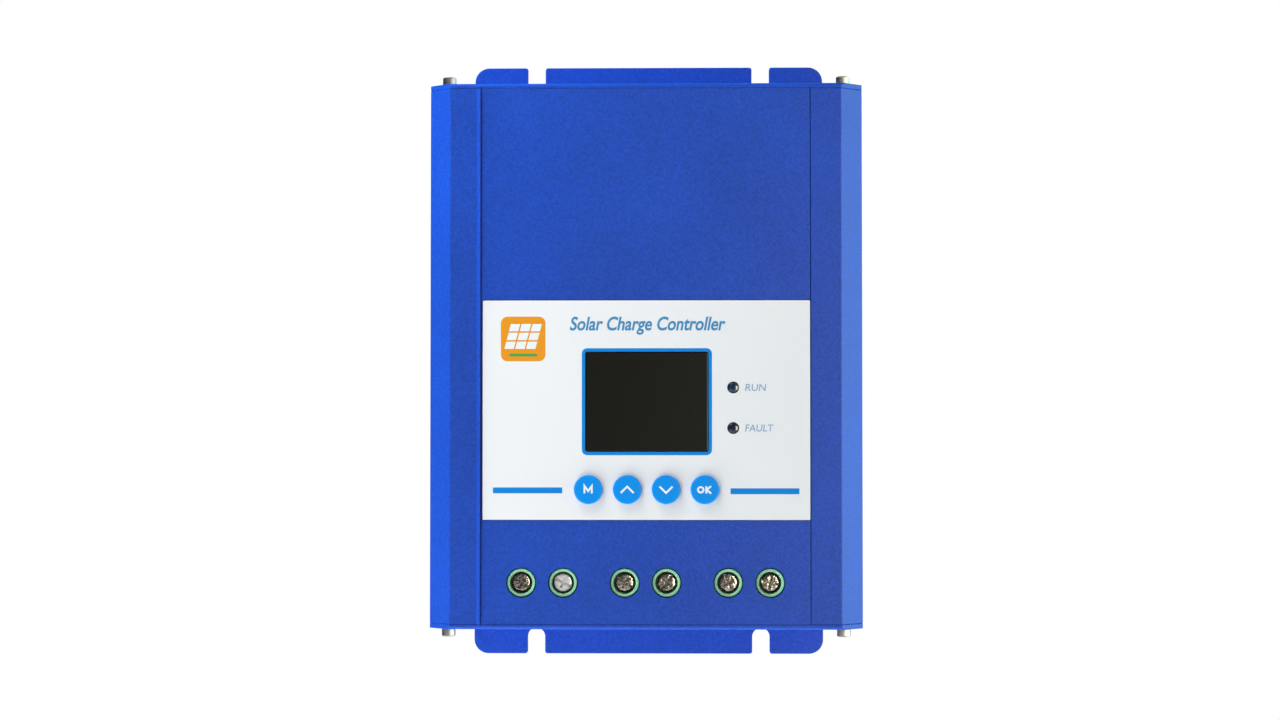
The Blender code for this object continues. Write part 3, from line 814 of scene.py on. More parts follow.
class Scatter(Copies):
    """Copies strewn over a mesh's faces at right angles to each other."""

    def __init__(self, density: float, gap: float, seed: int) -> None:
        """Set copies in a square metre, the least distance between two, and the seed."""
        super().__init__("scatter", {"Density": ("Float", density), "Gap": ("Float", gap),
                                     "Seed": ("Int", seed)})

    def points(self, graph: Graph, given: bpy.types.Node) -> tuple[Any, Any]:
        """Poisson points, each turned by a whole number of quarter turns."""
        strewn = graph.node("GeometryNodeDistributePointsOnFaces",
                            {"Mesh": given.outputs["Geometry"],
                             "Distance Min": given.outputs["Gap"],
                             "Density Max": given.outputs["Density"],
                             "Seed": given.outputs["Seed"]}, distribute_method="POISSON")
        quarter = graph.node("FunctionNodeRandomValue",
                             {"Min": 0, "Max": 3, "Seed": given.outputs["Seed"]}, data_type="INT")
        whole = next(socket for socket in quarter.outputs if socket.enabled)
        turn = graph.node("ShaderNodeCombineXYZ", {1: Value(graph, whole) * (pi / 2)})
        return strewn, turn


def spots_at(places: Iterable[Triple]) -> bpy.types.Mesh:
    """A mesh of loose points at places in (u, v, h)."""
    mesh = bpy.data.meshes.new("spots")
    mesh.from_pydata([world(place) for place in places], [], [])
    return mesh


# Case

@dataclass
class WallPlate:
    """Flat plate behind the case: round corners, open slots at both ends, stepped sides."""

    corner: float = 6.0 * MM
    slot_spacing: float = 94.0 * MM
    slot_width: float = 7.3 * MM
    slot_depth: float = 10.7 * MM
    mouth: float = 1.0 * MM
    edge: float = 0.35 * MM

    def outline(self, plate: Extent) -> Outline:
        """Outline of the plate from the front, the lower half being the upper one turned round."""
        half_u, half_v = plate.u[1], plate.v[1]
        slot = self.slot_width / 2
        floor = half_v - self.slot_depth + slot
        top = arc((half_u - self.corner, half_v - self.corner), self.corner, 0, 90, 12)
        for u in (self.slot_spacing / 2, -self.slot_spacing / 2):
            mouth = half_v - self.mouth
            top += arc((u + slot + self.mouth, mouth), self.mouth, 90, 180, 5)
            top += arc((u, floor), slot, 0, -180, 20)
            top += arc((u - slot - self.mouth, mouth), self.mouth, 0, 90, 5)
        top += arc((self.corner - half_u, half_v - self.corner), self.corner, 90, 180, 12)
        return top + [(-u, -v) for u, v in top]

    def build(self) -> None:
        """Cut both side steps, break the edges and hang the plate."""
        plate = Extent.of("back_plate")
        width, depth = PLATE_STEP
        reach = plate.size[1]
        steps = [prism(rectangle(2 * width, reach * 1.1, (side * plate.u[1], 0.0)), -depth, depth)
                 for side in (-1, 1)]
        solid = Solid(prism(self.outline(plate), *plate.h)).cut(*steps)
        solid.broken_edges(self.edge).piece("wall_plate", Finishes.COAT, replaces=["back_plate"])


@dataclass
class Rails:
    """Two extruded sides: front shoulder, chamfer, ribbed wall, screw channels, plate groove."""

    wall: float = 3.5 * MM
    skin: float = 2.65 * MM
    lip: float = 2.0 * MM
    ribs: int = 9
    pitch: float = 5.0 * MM
    rib: Pair = (2.0 * MM, 1.0 * MM)
    channel: float = 7.5 * MM
    foot: Pair = (68.0 * MM, 5.8 * MM)
    foot_wall: float = 13.0 * MM
    bore: float = 1.5 * MM
    bore_depth: float = 14.0 * MM
    closing: float = 0.2 * MM
    edge: float = 0.3 * MM
    bead: Triple = (0.25 * MM, 1.6 * MM, 1.0 * MM)

    def section(self, rail: Extent, plate: Extent, seam: float) -> Outline:
        """Section of the right-hand rail in (u, h), from the seam round the outside and back."""
        half, depth = rail.u[1], rail.h[1]
        inner = half - self.wall
        behind = depth - self.skin
        block = inner - self.channel
        outline = [(seam, depth), (half - CHAMFER[0], depth), (half, depth - CHAMFER[1])]
        width, cut = self.rib
        for index in range(self.ribs):
            height = depth - 2 * CHAMFER[1] - index * self.pitch
            outline += [(half, height + width / 2), (half - cut, height + width / 3),
                        (half - cut, height - width / 3), (half, height - width / 2)]
        groove, over = plate.u[1] + CLEAR, plate.h[1] + CLEAR
        step = (plate.u[1] - PLATE_STEP[0] + CLEAR, PLATE_STEP[1] - CLEAR)
        outline += [(half, 0.0), (step[0], 0.0), step, (groove, step[1]),
                    (groove, over), (self.foot[0], over), self.foot,
                    (block, self.foot[1]), (block, self.foot_wall), (inner, self.foot_wall),
                    (inner, behind - self.lip - self.channel),
                    (block, behind - self.lip - self.channel), (block, behind - self.lip),
                    (rail.u[0], behind - self.lip), (rail.u[0], behind), (seam, behind)]
        return outline

    def build(self, screws: "EndScrews") -> None:
        """Draw out both rails and bore them for the end screws."""
        plate, panel = Extent.of("back_plate"), Extent.of("front_panel")
        rail = Extent.of("right_rail")
        seam = panel.u[1] + CLEAR
        for name, side in (("left_rail", -1), ("right_rail", 1)):
            section = self.section(rail, plate, seam)
            if side < 0:
                steep, foot, height = self.bead
                section[1:1] = [(seam + steep, rail.h[1] + height), (seam + foot, rail.h[1])]
            outline = [(side * u, h) for u, h in section]
            bores = [drum(self.bore, end * (rail.v[1] - self.bore_depth), end * (rail.v[1] + MM),
                          place, Axis.UP, 32)
                     for place in screws.places() if place[0] * side > 0 for end in (-1, 1)]
            reach = rail.v[1] + self.closing
            solid = Solid(prism(outline, -reach, reach, Axis.UP)).cut(*bores)
            solid.broken_edges(self.edge)
            solid.piece(f"{name}_extrusion", Finishes.COAT, replaces=[name])


@dataclass
class FrontPanel:
    """Front sheet: label pocket, round and square openings, studs for the display board."""

    sheet: float = 2.4 * MM
    seam: float = 0.3 * MM
    hairline: float = 0.05 * MM
    pocket: float = 0.5 * MM
    collar_clear: float = 0.5 * MM
    stud: Pair = (3.0 * MM, 1.3 * MM)
    studs: tuple[Pair, ...] = ((-35.0, 5.0), (41.0, 5.0), (-35.0, -57.5), (41.0, -57.5))
    edge: float = 0.2 * MM

    def build(self, openings: "Openings", terminals: "Terminals") -> None:
        """Raise the studs, sink the pocket, cut every opening and break the edges."""
        panel, label = Extent.of("front_panel"), Extent.of("front_label")
        half, depth = panel.u[1], panel.h[1]
        back = depth - self.sheet
        left = half + CLEAR - self.hairline
        section = [(-left, back), (half, back), (half, depth - self.edge),
                   (half - self.edge, depth), (self.seam - left, depth), (-left, depth - self.seam)]
        shoulder = Extent.of("display_board").h[1] + CLEAR
        wide, pin = self.stud
        studs = [turned([(pin, panel.h[0]), (pin, shoulder), (wide, shoulder), (wide, back + MM)],
                        (u * MM, v * MM), sides=24) for u, v in self.studs]
        sunk = rectangle(2.2 * half, label.size[1] + 2 * CLEAR, label.centre)
        low, high = back - MM, depth + MM
        rings = [drum(terminals.collar + self.collar_clear, low, high, place)
                 for place in terminals.places().values()]
        reach = panel.v[1] + CLEAR - self.hairline
        solid = Solid(prism(section, -reach, reach, Axis.UP)).join(*studs)
        solid.cut(prism(sunk, depth - self.pocket, high)).cut(*openings.cutters(low, high), *rings)
        solid.broken_edges(self.edge).piece("front_sheet", Finishes.COAT, replaces=["front_panel"])


@dataclass
class EndPlates:
    """Folded ends: vents, wire windows and screw holes."""

    vents: int = 11
    pitch: float = 10.0 * MM
    vent_width: float = 3.2 * MM
    top_vents: Pair = (20.0 * MM, 46.0 * MM)
    bottom_vents: Pair = (12.0 * MM, 32.0 * MM)
    window: Pair = (28.0 * MM, 11.4 * MM)
    corner: float = 1.5 * MM
    hole: float = 1.7 * MM
    edge: float = 0.25 * MM
    slope: float = 0.9 * MM

    def build(self, screws: "EndScrews", terminals: "Terminals") -> None:
        """Make both plates from one section."""
        plate = Extent.of("back_plate")
        for name, end, vents in (("top_end_plate", 1, self.top_vents),
                                 ("bottom_end_plate", -1, self.bottom_vents)):
            extent = Extent.of(name)
            half, depth = extent.u[1], extent.h[1]
            notch = (plate.u[1] + CLEAR, plate.h[1] + CLEAR)
            right = [notch, (notch[0], 0.0), (half, 0.0), (half, depth - CHAMFER[1]),
                     (half - CHAMFER[0], depth)]
            outline = right + [(-u, h) for u, h in reversed(right)]
            low, high = extent.v[0] - MM, extent.v[1] + MM
            holes = [drum(self.hole, low, high, place, Axis.UP, 32) for place in screws.places()]
            slot = rectangle(self.vent_width, vents[1] - vents[0], (0.0, sum(vents) / 2),
                             self.vent_width / 2 - 0.00001, 10)
            row = Row(self.vents, (self.pitch, 0.0, 0.0)).of(Solid(prism(slot, low, high, Axis.UP)),
                                                            Finishes.COAT)
            if end < 0:
                holes += [prism(rectangle(*self.window, (u, terminals.wire_height), self.corner),
                                low, high, Axis.UP) for u in terminals.block_centres()]
            outer, over = extent.v[1 if end > 0 else 0], 1.0 * MM
            wedge = prism([(outer - end * (self.slope + over), depth + over),
                           (outer + end * over, depth - self.slope - over),
                           (outer + end * over, depth + over)], -half - over, half + over,
                          Axis.ACROSS)
            solid = Solid(prism(outline, *extent.v, Axis.UP)).cut(*holes, wedge).cut_by(row)
            solid.broken_edges(self.edge).piece(f"{name}_sheet", Finishes.COAT, replaces=[name])


@dataclass
class EndScrews:
    """Eight socket-head screws, each with a knurled head, on a washer face."""

    head: float = 2.7 * MM
    shank: float = 1.25 * MM
    head_height: float = 3.0 * MM
    length: float = 12.0 * MM
    socket: Pair = (1.44 * MM, 1.5 * MM)
    teeth: int = 40
    tooth: float = 0.09 * MM

    @staticmethod
    def nodes(end: str) -> list[str]:
        """Names of the four CAD screws in an end."""
        return [f"{end}_screw_{side}_{depth}" for side in ("left", "right")
                for depth in ("front", "rear")]

    def places(self) -> list[Pair]:
        """Centres in (u, h) of the four screws in an end, read from the frame."""
        return [(sum(extent.u) / 2, sum(extent.h) / 2)
                for extent in map(Extent.of, self.nodes("top"))]

    def screw(self) -> Solid:
        """One screw standing up on the plane v = 0."""
        top = self.head_height
        profile = [(self.shank * 0.8, -self.length), (self.shank, -self.length + 0.5 * MM),
                   (self.shank, 0.0), (self.head * 0.97, 0.0), (self.head, 0.15 * MM),
                   (self.head, top - 0.5 * MM), (self.head - 0.12 * MM, top - 0.2 * MM),
                   (self.head - 0.45 * MM, top)]
        shell = turned(profile, along=Axis.UP, sides=2 * self.teeth)
        for ring in shell.rings[4:6]:
            for index in range(0, len(ring), 2):
                u, v, h = ring[index]
                shrink = 1 - self.tooth / self.head
                ring[index] = (u * shrink, v, h * shrink)
        radius, depth = self.socket
        solid = Solid(shell).cut(prism(disc(radius, 6), top - depth, top + MM, Axis.UP))
        return solid.with_radius((0.0, 0.0), Axis.UP)

    def build(self) -> None:
        """Set the screws into both ends."""
        for name, turn in (("top", 0.0), ("bottom", pi)):
            seat = abs(Extent.of(f"{name}_screw_left_front").v[0 if turn else 1]) - self.head_height
            ground = spots_at((u, -seat if turn else seat, h) for u, h in self.places())
            copies = Spots((0.0, turn, 0.0)).of(self.screw(), Finishes.STEEL, ground)
            copies.piece(f"{name}_end_screws", Finishes.STEEL, replaces=self.nodes(name))


# Front controls and print

@dataclass
class Openings:
    """What comes through both the label and the front panel."""

    rim: float = 2.4 * MM
    window_gap: float = 0.3 * MM
    lamp_flange: float = 0.5 * MM
    lamp_gap: float = 0.25 * MM
    stem_hole: float = 3.9 * MM

    def window(self, grow: float = 0.0, corner: float = 0.5 * MM) -> Outline:
        """Outline of the display window, larger by grow on every side."""
        lens = Extent.of("display_lens")
        reach = 2 * (grow - self.rim)
        return rectangle(lens.size[0] + reach, lens.size[1] + reach, lens.centre, corner + grow)

    def cutters(self, low: float, high: float) -> list[Shell]:
        """Cutters for the window, the lamps and the key stems."""
        made = [prism(self.window(self.window_gap), low, high)]
        for name in Lamps.names:
            lamp = Extent.of(name)
            radius = lamp.size[0] / 2 - self.lamp_flange + self.lamp_gap
            made.append(drum(radius, low, high, lamp.centre, sides=40))
        made += [drum(self.stem_hole, low, high, Extent.of(f"{key.value}_key").centre, sides=48)
                 for key in Key]
        return made


def lettering(words: str, start: Pair, width: float, cap: float, height: float, slant: float,
              weight: float = 0.0) -> Solid:
    """Raised letters on the front.

    Args:
        words: what they say.
        start: the lower left corner of the line in (u, v), on its baseline.
        width: the line's width.
        cap: height of the capitals.
        height: how far out the letters' back lies, as h.
        slant: lean of the upright strokes.
        weight: how much the strokes are thickened, in parts of the type size.

    Returns:
        The letters as a solid.
    """
    curve = bpy.data.curves.new("words", "FONT")
    curve.body = words
    curve.shear = slant
    curve.offset = weight
    curve.extrude = 0.5
    curve.resolution_u = 5
    carrier = bpy.data.objects.new("words", curve)
    bpy.context.collection.objects.link(carrier)
    depsgraph = bpy.context.evaluated_depsgraph_get()
    solid = Solid()
    solid.mesh = bpy.data.meshes.new_from_object(carrier.evaluated_get(depsgraph),
                                                 depsgraph=depsgraph)
    bpy.data.objects.remove(carrier)
    across = [vertex.co.x for vertex in solid.mesh.vertices]
    stretch = width / (max(across) - min(across))
    for vertex in solid.mesh.vertices:
        a, b, c = vertex.co
        vertex.co = world((start[0] + (a - min(across)) * stretch, start[1] + b * cap / CAP_HEIGHT,
                           height + (c + 0.5) * INK_RISE))
    shape = bmesh.new()
    shape.from_mesh(solid.mesh)
    bmesh.ops.remove_doubles(shape, verts=shape.verts, dist=1e-7)
    bmesh.ops.recalc_face_normals(shape, faces=shape.faces)
    shape.to_mesh(solid.mesh)
    shape.free()
    return solid


def stroked(points: list[Pair], width: float) -> Outline:
    """Outline of an open line drawn with a square pen."""
    sides: tuple[Outline, Outline] = ([], [])
    for index, point in enumerate(points):
        here = Vector(point)
        legs = [(Vector(b) - Vector(a)).normalized()
                for a, b in zip(points, points[1:])][max(0, index - 1):index + 1]
        along = sum(legs, Vector((0.0, 0.0))).normalized()
        across = Vector((-along.y, along.x)) * (width / 2 / max(0.3, along.dot(legs[0])))
        for side, sign in zip(sides, (1, -1)):
            moved = here + across * sign
            side.append((moved.x, moved.y))
    return sides[0] + sides[1][::-1]


def printed(level: float, *outlines: Outline) -> Solid:
    """Raised print: outlines drawn out from a level of h."""
    return Solid(*[prism(outline, level, level + INK_RISE) for outline in outlines])


@dataclass
class Label:
    """White film, with its raised print: title, panel pictogram, bars, frame and legends."""

    title: str = "Solar Charge Controller"
    title_place: Pair = (-30.0 * MM, 10.1 * MM)
    title_width: float = 61.6 * MM
    title_cap: float = 5.1 * MM
    mark: Pair = (-48.4 * MM, 6.6 * MM)
    tile: Pair = (17.6 * MM, 2.6 * MM)
    cell: Pair = (3.7 * MM, 2.9 * MM)
    cell_gap: float = 0.6 * MM
    cell_lean: Pair = (0.9 * MM, 0.38 * MM)
    cell_lift: float = 1.0 * MM
    ground_line: Triple = (11.0 * MM, 1.0 * MM, 6.4 * MM)
    bars: tuple[Triple, ...] = ((-60.3 * MM, -32.9 * MM, -53.2 * MM),
                                (33.5 * MM, 60.6 * MM, -53.5 * MM))
    bar_width: float = 2.3 * MM
    frame_line: float = 1.3 * MM
    legend_cap: float = 2.7 * MM
    legend_u: float = 39.3 * MM
    edge: float = 0.08 * MM

    def build(self, openings: Openings) -> None:
        """Make the film, then print on it."""
        film = Extent.of("front_label")
        solid = Solid(prism(rectangle(*film.size, film.centre, 0.4 * MM), *film.h))
        solid.cut(*openings.cutters(film.h[0] - MM, film.h[1] + MM)).broken_edges(self.edge, 2)
        solid.piece("label_film", Finishes.FILM, replaces=["front_label"])
        top = film.h[1]
        lettering(self.title, self.title_place, self.title_width, self.title_cap, top,
                  slant=0.22, weight=0.022).piece("label_title", Finishes.TITLE_INK)
        self._print_mark(top)
        bars = [rectangle(b - a, self.bar_width, ((a + b) / 2, v)) for a, b, v in self.bars]
        printed(top, *bars).piece("label_bars", Finishes.INK)
        ring = printed(top, openings.window(openings.window_gap + self.frame_line))
        ring.cut(prism(openings.window(openings.window_gap), top - MM, top + MM))
        ring.piece("display_frame_line", Finishes.INK)
        for name, words, width in (("run_lamp", "RUN", 8.3 * MM),
                                   ("fault_lamp", "FAULT", 11.2 * MM)):
            v = Extent.of(name).centre[1] - self.legend_cap / 2
            legend = lettering(words, (self.legend_u, v), width, self.legend_cap, top, slant=0.12)
            legend.piece(f"{name}_legend", Finishes.LEGEND_INK)

    def _print_mark(self, top: float) -> None:
        """A square tile with a slanted grid of solar cells over a short ground line."""
        side, corner = self.tile
        printed(top, rectangle(side, side, self.mark, corner, 8)).piece("label_mark_tile",
                                                                        Finishes.AMBER_INK)
        row_lean, lean = self.cell_lean
        width, tall = self.cell
        cells = []
        for row in (-1, 0, 1):
            for column in (-1, 0, 1):
                v = self.mark[1] + self.cell_lift + row * (tall + self.cell_gap)
                u = self.mark[0] + column * (width + self.cell_gap) + row * row_lean
                cells.append([(u + a * width / 2 + b * lean, v + b * tall / 2)
                              for a, b in ((-1, -1), (1, -1), (1, 1), (-1, 1))])
        printed(top + INK_RISE, *cells).piece("label_mark_cells", Finishes.WHITE_INK)
        length, thick, drop = self.ground_line
        line = rectangle(length, thick, (self.mark[0], self.mark[1] - drop), 0.4 * MM)
        printed(top + INK_RISE, line).piece("label_mark_line", Finishes.GREEN_INK)


@dataclass
class Display:
    """Window with a rim behind the panel, the module under it, its board and its ribbon."""

    step: float = 1.2 * MM
    round_over: float = 0.45 * MM
    rim_corner: float = 0.9 * MM
    lens_corner: float = 0.6 * MM

    def build(self, openings: Openings) -> None:
        """Build the window and break the module's edges."""
        lens = Extent.of("display_lens")
        low, high = lens.h
        wide = openings.window(openings.rim, self.rim_corner)
        rings = [(wide, low), (wide, low + self.step), (openings.window(), low + self.step)]
        rings += [(openings.window(-inset, self.lens_corner), high - drop)
                  for inset, drop in rim(self.round_over, self.round_over / 2, 4)]
        shell = Shell([[(u, v, h) for u, v in outline] for outline, h in rings])
        Solid(shell).piece("display_glass", Finishes.WINDOW, replaces=["display_lens"])
        refine_node("display_module", "display_backlight_case", Finishes.BLACK, 0.3 * MM)
        dress_node("display_board", Finishes.BOARD)
        dress_node("ribbon_cable", Finishes.RIBBON)


@dataclass
class Lamps:
    """Two small indicator lamps with domed tips."""

    names = ("run_lamp", "fault_lamp")
    flange: Pair = (0.5 * MM, 1.0 * MM)
    dome: float = 0.8 * MM
    tip: float = 0.02 * MM

    def build(self) -> None:
        """Turn both lamps."""
        for name, finish in zip(self.names, (Finishes.RUN_LAMP, Finishes.FAULT_LAMP)):
            lamp = Extent.of(name)
            wide, low, high = lamp.size[0] / 2, *lamp.h
            radius = wide - self.flange[0]
            profile = [(wide, low), (wide, low + self.flange[1]), (radius, low + self.flange[1])]
            profile += [(max(radius - inset, self.tip), high - drop)
                        for inset, drop in rim(radius, self.dome, 9)][:-1]
            Solid(turned(profile, lamp.centre)).piece(f"{name}_lens", finish, replaces=[name])


class Key(Enum):
    """The four push keys."""

    MENU = "menu"
    UP = "up"
    DOWN = "down"
    OK = "ok"


@dataclass
class Keys:
    """Push keys with round caps, their white legends and the switches that they press."""

    stem: float = 3.5 * MM
    flange: Pair = (5.0 * MM, 1.0 * MM)
    pusher: float = 1.6 * MM
    skirt: float = 0.95 * MM
    flange_top: float = 63.35 * MM
    rounding: float = 0.62 * MM
    chevron: Pair = (2.55 * MM, 2.5 * MM)
    letter: Pair = (1.45 * MM, 1.45 * MM)
    pair: Triple = (0.2 * MM, 0.55 * MM, 1.9 * MM)
    pen: float = 0.75 * MM

    def _cap(self, key: Extent) -> Shell:
        """The key itself: pusher, flange, stem, and a cap with a rounded rim."""
        low, high = key.h
        radius = key.size[0] / 2
        under = high - self.skirt
        profile = [(self.pusher, low), (self.pusher, self.flange_top - self.flange[1]),
                   (self.flange[0], self.flange_top - self.flange[1]),
                   (self.flange[0], self.flange_top), (self.stem, self.flange_top),
                   (self.stem, under), (radius - 0.15 * MM, under), (radius, under + 0.12 * MM)]
        profile += [(radius - inset, high - drop)
                    for inset, drop in rim(self.rounding, self.rounding, 6)]
        profile.append((radius * 0.45, high))
        return turned(profile, key.centre)

    def _legend(self, key: Key, extent: Extent) -> Solid:
        """What is printed on a key: M, an arrow head, or OK."""
        u, v = extent.centre
        top = extent.h[1]
        if key in (Key.UP, Key.DOWN):
            reach, rise = self.chevron
            tip = rise / 2 if key is Key.UP else -rise / 2
            points = [(u - reach, v - tip), (u, v + tip), (u + reach, v - tip)]
            return printed(top, stroked(points, self.pen))
        half, rise = self.letter
        if key is Key.MENU:
            points = [(u - half, v - rise), (u - half, v + rise), (u, v - rise * 0.35),
                      (u + half, v + rise), (u + half, v - rise)]
            return printed(top, stroked(points, self.pen))
        back, forward, arm = self.pair
        ring, hole = (disc(radius, 32, (u - half - back, v)) for radius in (rise, rise - self.pen))
        stem = u + forward
        post = stroked([(stem, v - rise), (stem, v + rise)], self.pen)
        arms = stroked([(stem + arm, v + rise), (stem + 0.1 * MM, v), (stem + arm, v - rise)],
                       self.pen)
        solid = printed(top, ring).cut(prism(hole, top - MM, top + MM))
        for stroke in (post, arms):
            solid.join(prism(stroke, top, top + INK_RISE))
        return solid

    def build(self) -> None:
        """Hang each key and its legend on the key's own body."""
        for key in Key:
            body = f"{key.value}_key"
            extent = Extent.of(body)
            Solid(self._cap(extent)).piece(f"{body}_cap", Finishes.KEY, body, [body])
            self._legend(key, extent).piece(f"{body}_legend", Finishes.WHITE_INK, body)
            switch = f"{key.value}_switch"
            refine_node(switch, f"{switch}_case", Finishes.BLACK, 0.2 * MM)


# Terminals

@dataclass
class Terminals:
    """Three two-pole blocks; each pole has a combination-slot screw, a cage and a contact."""

    blocks: tuple[str, ...] = ("solar", "battery", "load")
    sides: tuple[str, ...] = ("left", "right")
    collar: float = 5.45 * MM
    bore: float = 4.4 * MM
    countersink: float = 0.3 * MM
    # wall of the black tube that paints shade inside each collar bore
    shade_lining: float = 0.3 * MM
    hole: float = 2.9 * MM
    front: float = 61.0 * MM
    wall: float = 2.0 * MM
    cavity: float = 5.8 * MM
    entry: Pair = (8.6 * MM, 7.6 * MM)
    entry_corner: float = 0.8 * MM
    edge: float = 0.16 * MM
    wire_height: float = 45.0 * MM
    slot: float = 0.55 * MM
    slot_floor: float = 1.3 * MM
    short_slot: float = 2.3 * MM
    shank: float = 2.5 * MM
    thread: Pair = (0.8 * MM, 0.28 * MM)
    turns: tuple[float, ...] = (35, 28, 32, 128, 64, 12)
    # The pole whose screw takes the nickel with the painted highlight.
    painted_highlight_pole: str = "solar_right"

    def poles(self) -> list[str]:
        """Names of the six poles, from left to right."""
        return [f"{block}_{side}" for block in self.blocks for side in self.sides]

    def places(self) -> dict[str, Pair]:
        """Each screw's axis as seen from the front."""
        return {pole: Extent.of(f"{pole}_screw").centre for pole in self.poles()}

    def block_centres(self) -> list[float]:
        """The middle of each block, as u."""
        return [Extent.of(f"{block}_terminal_block").centre[0] for block in self.blocks]

    def _build_block(self, block: str) -> None:
        """Moulded block: collars, cavities, screw bores and wire entries."""
        name = f"{block}_terminal_block"
        extent = Extent.of(name)
        centres = [self.places()[f"{block}_{side}"] for side in self.sides]
        top = extent.h[1]
        collars = [turned([(self.collar, self.front - MM), (self.collar, top)], centre)
                   for centre in centres]
        mouth = self.bore + self.countersink
        bores = [turned([(self.hole, self.front - 2 * self.wall), (self.hole, self.front),
                         (self.bore, self.front), (self.bore, top - 0.5 * MM), (mouth, top),
                         (mouth, top + MM)], centre) for centre in centres]
        width = 2 * self.cavity
        low, high = extent.v[0] + 1.5 * self.wall, extent.v[1] + MM
        cavities = [prism(rectangle(width, high - low, (u, (low + high) / 2)),
                          extent.h[0] + self.wall, self.front - self.wall) for u, _ in centres]
        entries = [prism(rectangle(*self.entry, (u, self.wire_height), self.entry_corner),
                         extent.v[0] - MM, extent.v[0] + 2 * self.wall, Axis.UP)
                   for u, _ in centres]
        body = rectangle(*extent.size, extent.centre)
        solid = Solid(prism(body, extent.h[0], self.front)).join(*collars).cut(*cavities)
        solid.cut(*bores).cut(*entries).broken_edges(self.edge)
        solid.piece(f"{name}_moulding", Finishes.COLLAR, replaces=[name])
        # Black tubes lining the collar bores: painted shade, a dark sheet where the deep bores fall
        # into shadow.
        outer, inner = self.bore - 0.02 * MM, self.bore - self.shade_lining
        low, high = self.front + 0.05 * MM, top - 0.55 * MM
        profile = [(outer, low), (outer, high), (inner, high), (inner, low)]
        shade_tubes = [Shell(turned(profile, centre).rings, closed=True) for centre in centres]
        Solid(*shade_tubes).piece(f"{block}_collar_linings", Finishes.BLACK)

    def _thread(self, centre: Pair, low: float, seat: float, steps: int = 8,
                sides: int = 32) -> Shell:
        """A shank with a helical thread, fading towards its tip.

        Args:
            centre: the screw's axis.
            low: the tip, as h.
            seat: the underside of the head.
            steps: rings in one turn of the thread.
            sides: points in a ring.

        Returns:
            The shank.
        """
        pitch, depth = self.thread
        rings = int((seat - low) / pitch * steps)
        thread = []
        for index in range(rings):
            height = low + (seat - 0.1 * MM - low) * index / (rings - 1)
            fade = min(1.0, 0.55 + index / (2.5 * steps))
            ring = []
            for step in range(sides):
                phase = (height / pitch - step / sides) % 1.0
                radius = (self.shank - depth * abs(2 * phase - 1)) * fade
                angle = tau * step / sides
                ring.append((centre[0] + radius * cos(angle), centre[1] + radius * sin(angle),
                             height))
            thread.append(ring)
        return Shell(thread)

    def _screw(self, name: str, turn: float) -> Solid:
        """Screw with a crossed slot in its head and a real helical thread."""
        extent = Extent.of(name)
        centre = extent.centre
        low, high = extent.h
        head = extent.size[0] / 2
        seat = self.front + 0.25 * MM
        profile = [(self.shank * 0.8, seat - 0.15 * MM), (head - 0.12 * MM, seat),
                   (head, seat + 0.12 * MM), (head, high - 0.75 * MM),
                   (head - 0.10 * MM, high - 0.45 * MM), (head - 0.35 * MM, high - 0.18 * MM),
                   (head - 0.9 * MM, high - 0.05 * MM), (head * 0.4, high)]
        half, long, short = self.slot, head + MM, self.short_slot
        quarter = [(long, -half), (long, half), (half, half), (half, short)]
        cross = quarter + [(-u, v) for u, v in reversed(quarter)][:-1] + [(-long, -half)]
        cross += [(-half, -half), (-half, -short), (half, -short), (half, -half)]
        angle = -radians(turn)
        spun = [(centre[0] + u * cos(angle) - v * sin(angle),
                 centre[1] + u * sin(angle) + v * cos(angle)) for u, v in cross]
        solid = Solid(turned(profile, centre)).cut(prism(spun, high - self.slot_floor, high + MM))
        solid.broken_edges(0.07 * MM, 2, 50).join(self._thread(centre, low, seat))
        return solid.with_radius(centre)

    def build(self) -> None:
        """Build the blocks, then the moving and fixed pieces of every pole."""
        for block in self.blocks:
            self._build_block(block)
        for pole, turn in zip(self.poles(), self.turns):
            screw, cage, contact = (f"{pole}_{part}" for part in ("screw", "cage", "contact"))
            # One pole's screw is painted with a bright reflection; the others take aged nickel.
            finish = Finishes.NICKEL if pole == self.painted_highlight_pole else Finishes.AGED_NICKEL
            self._screw(screw, turn).piece(f"{screw}_metal", finish, screw, [screw])
            refine_node(cage, f"{cage}_tube", Finishes.BRASS, 0.25 * MM, cage)
            refine_node(contact, f"{contact}_bar", Finishes.TINNED, 0.2 * MM)


# Inside the case

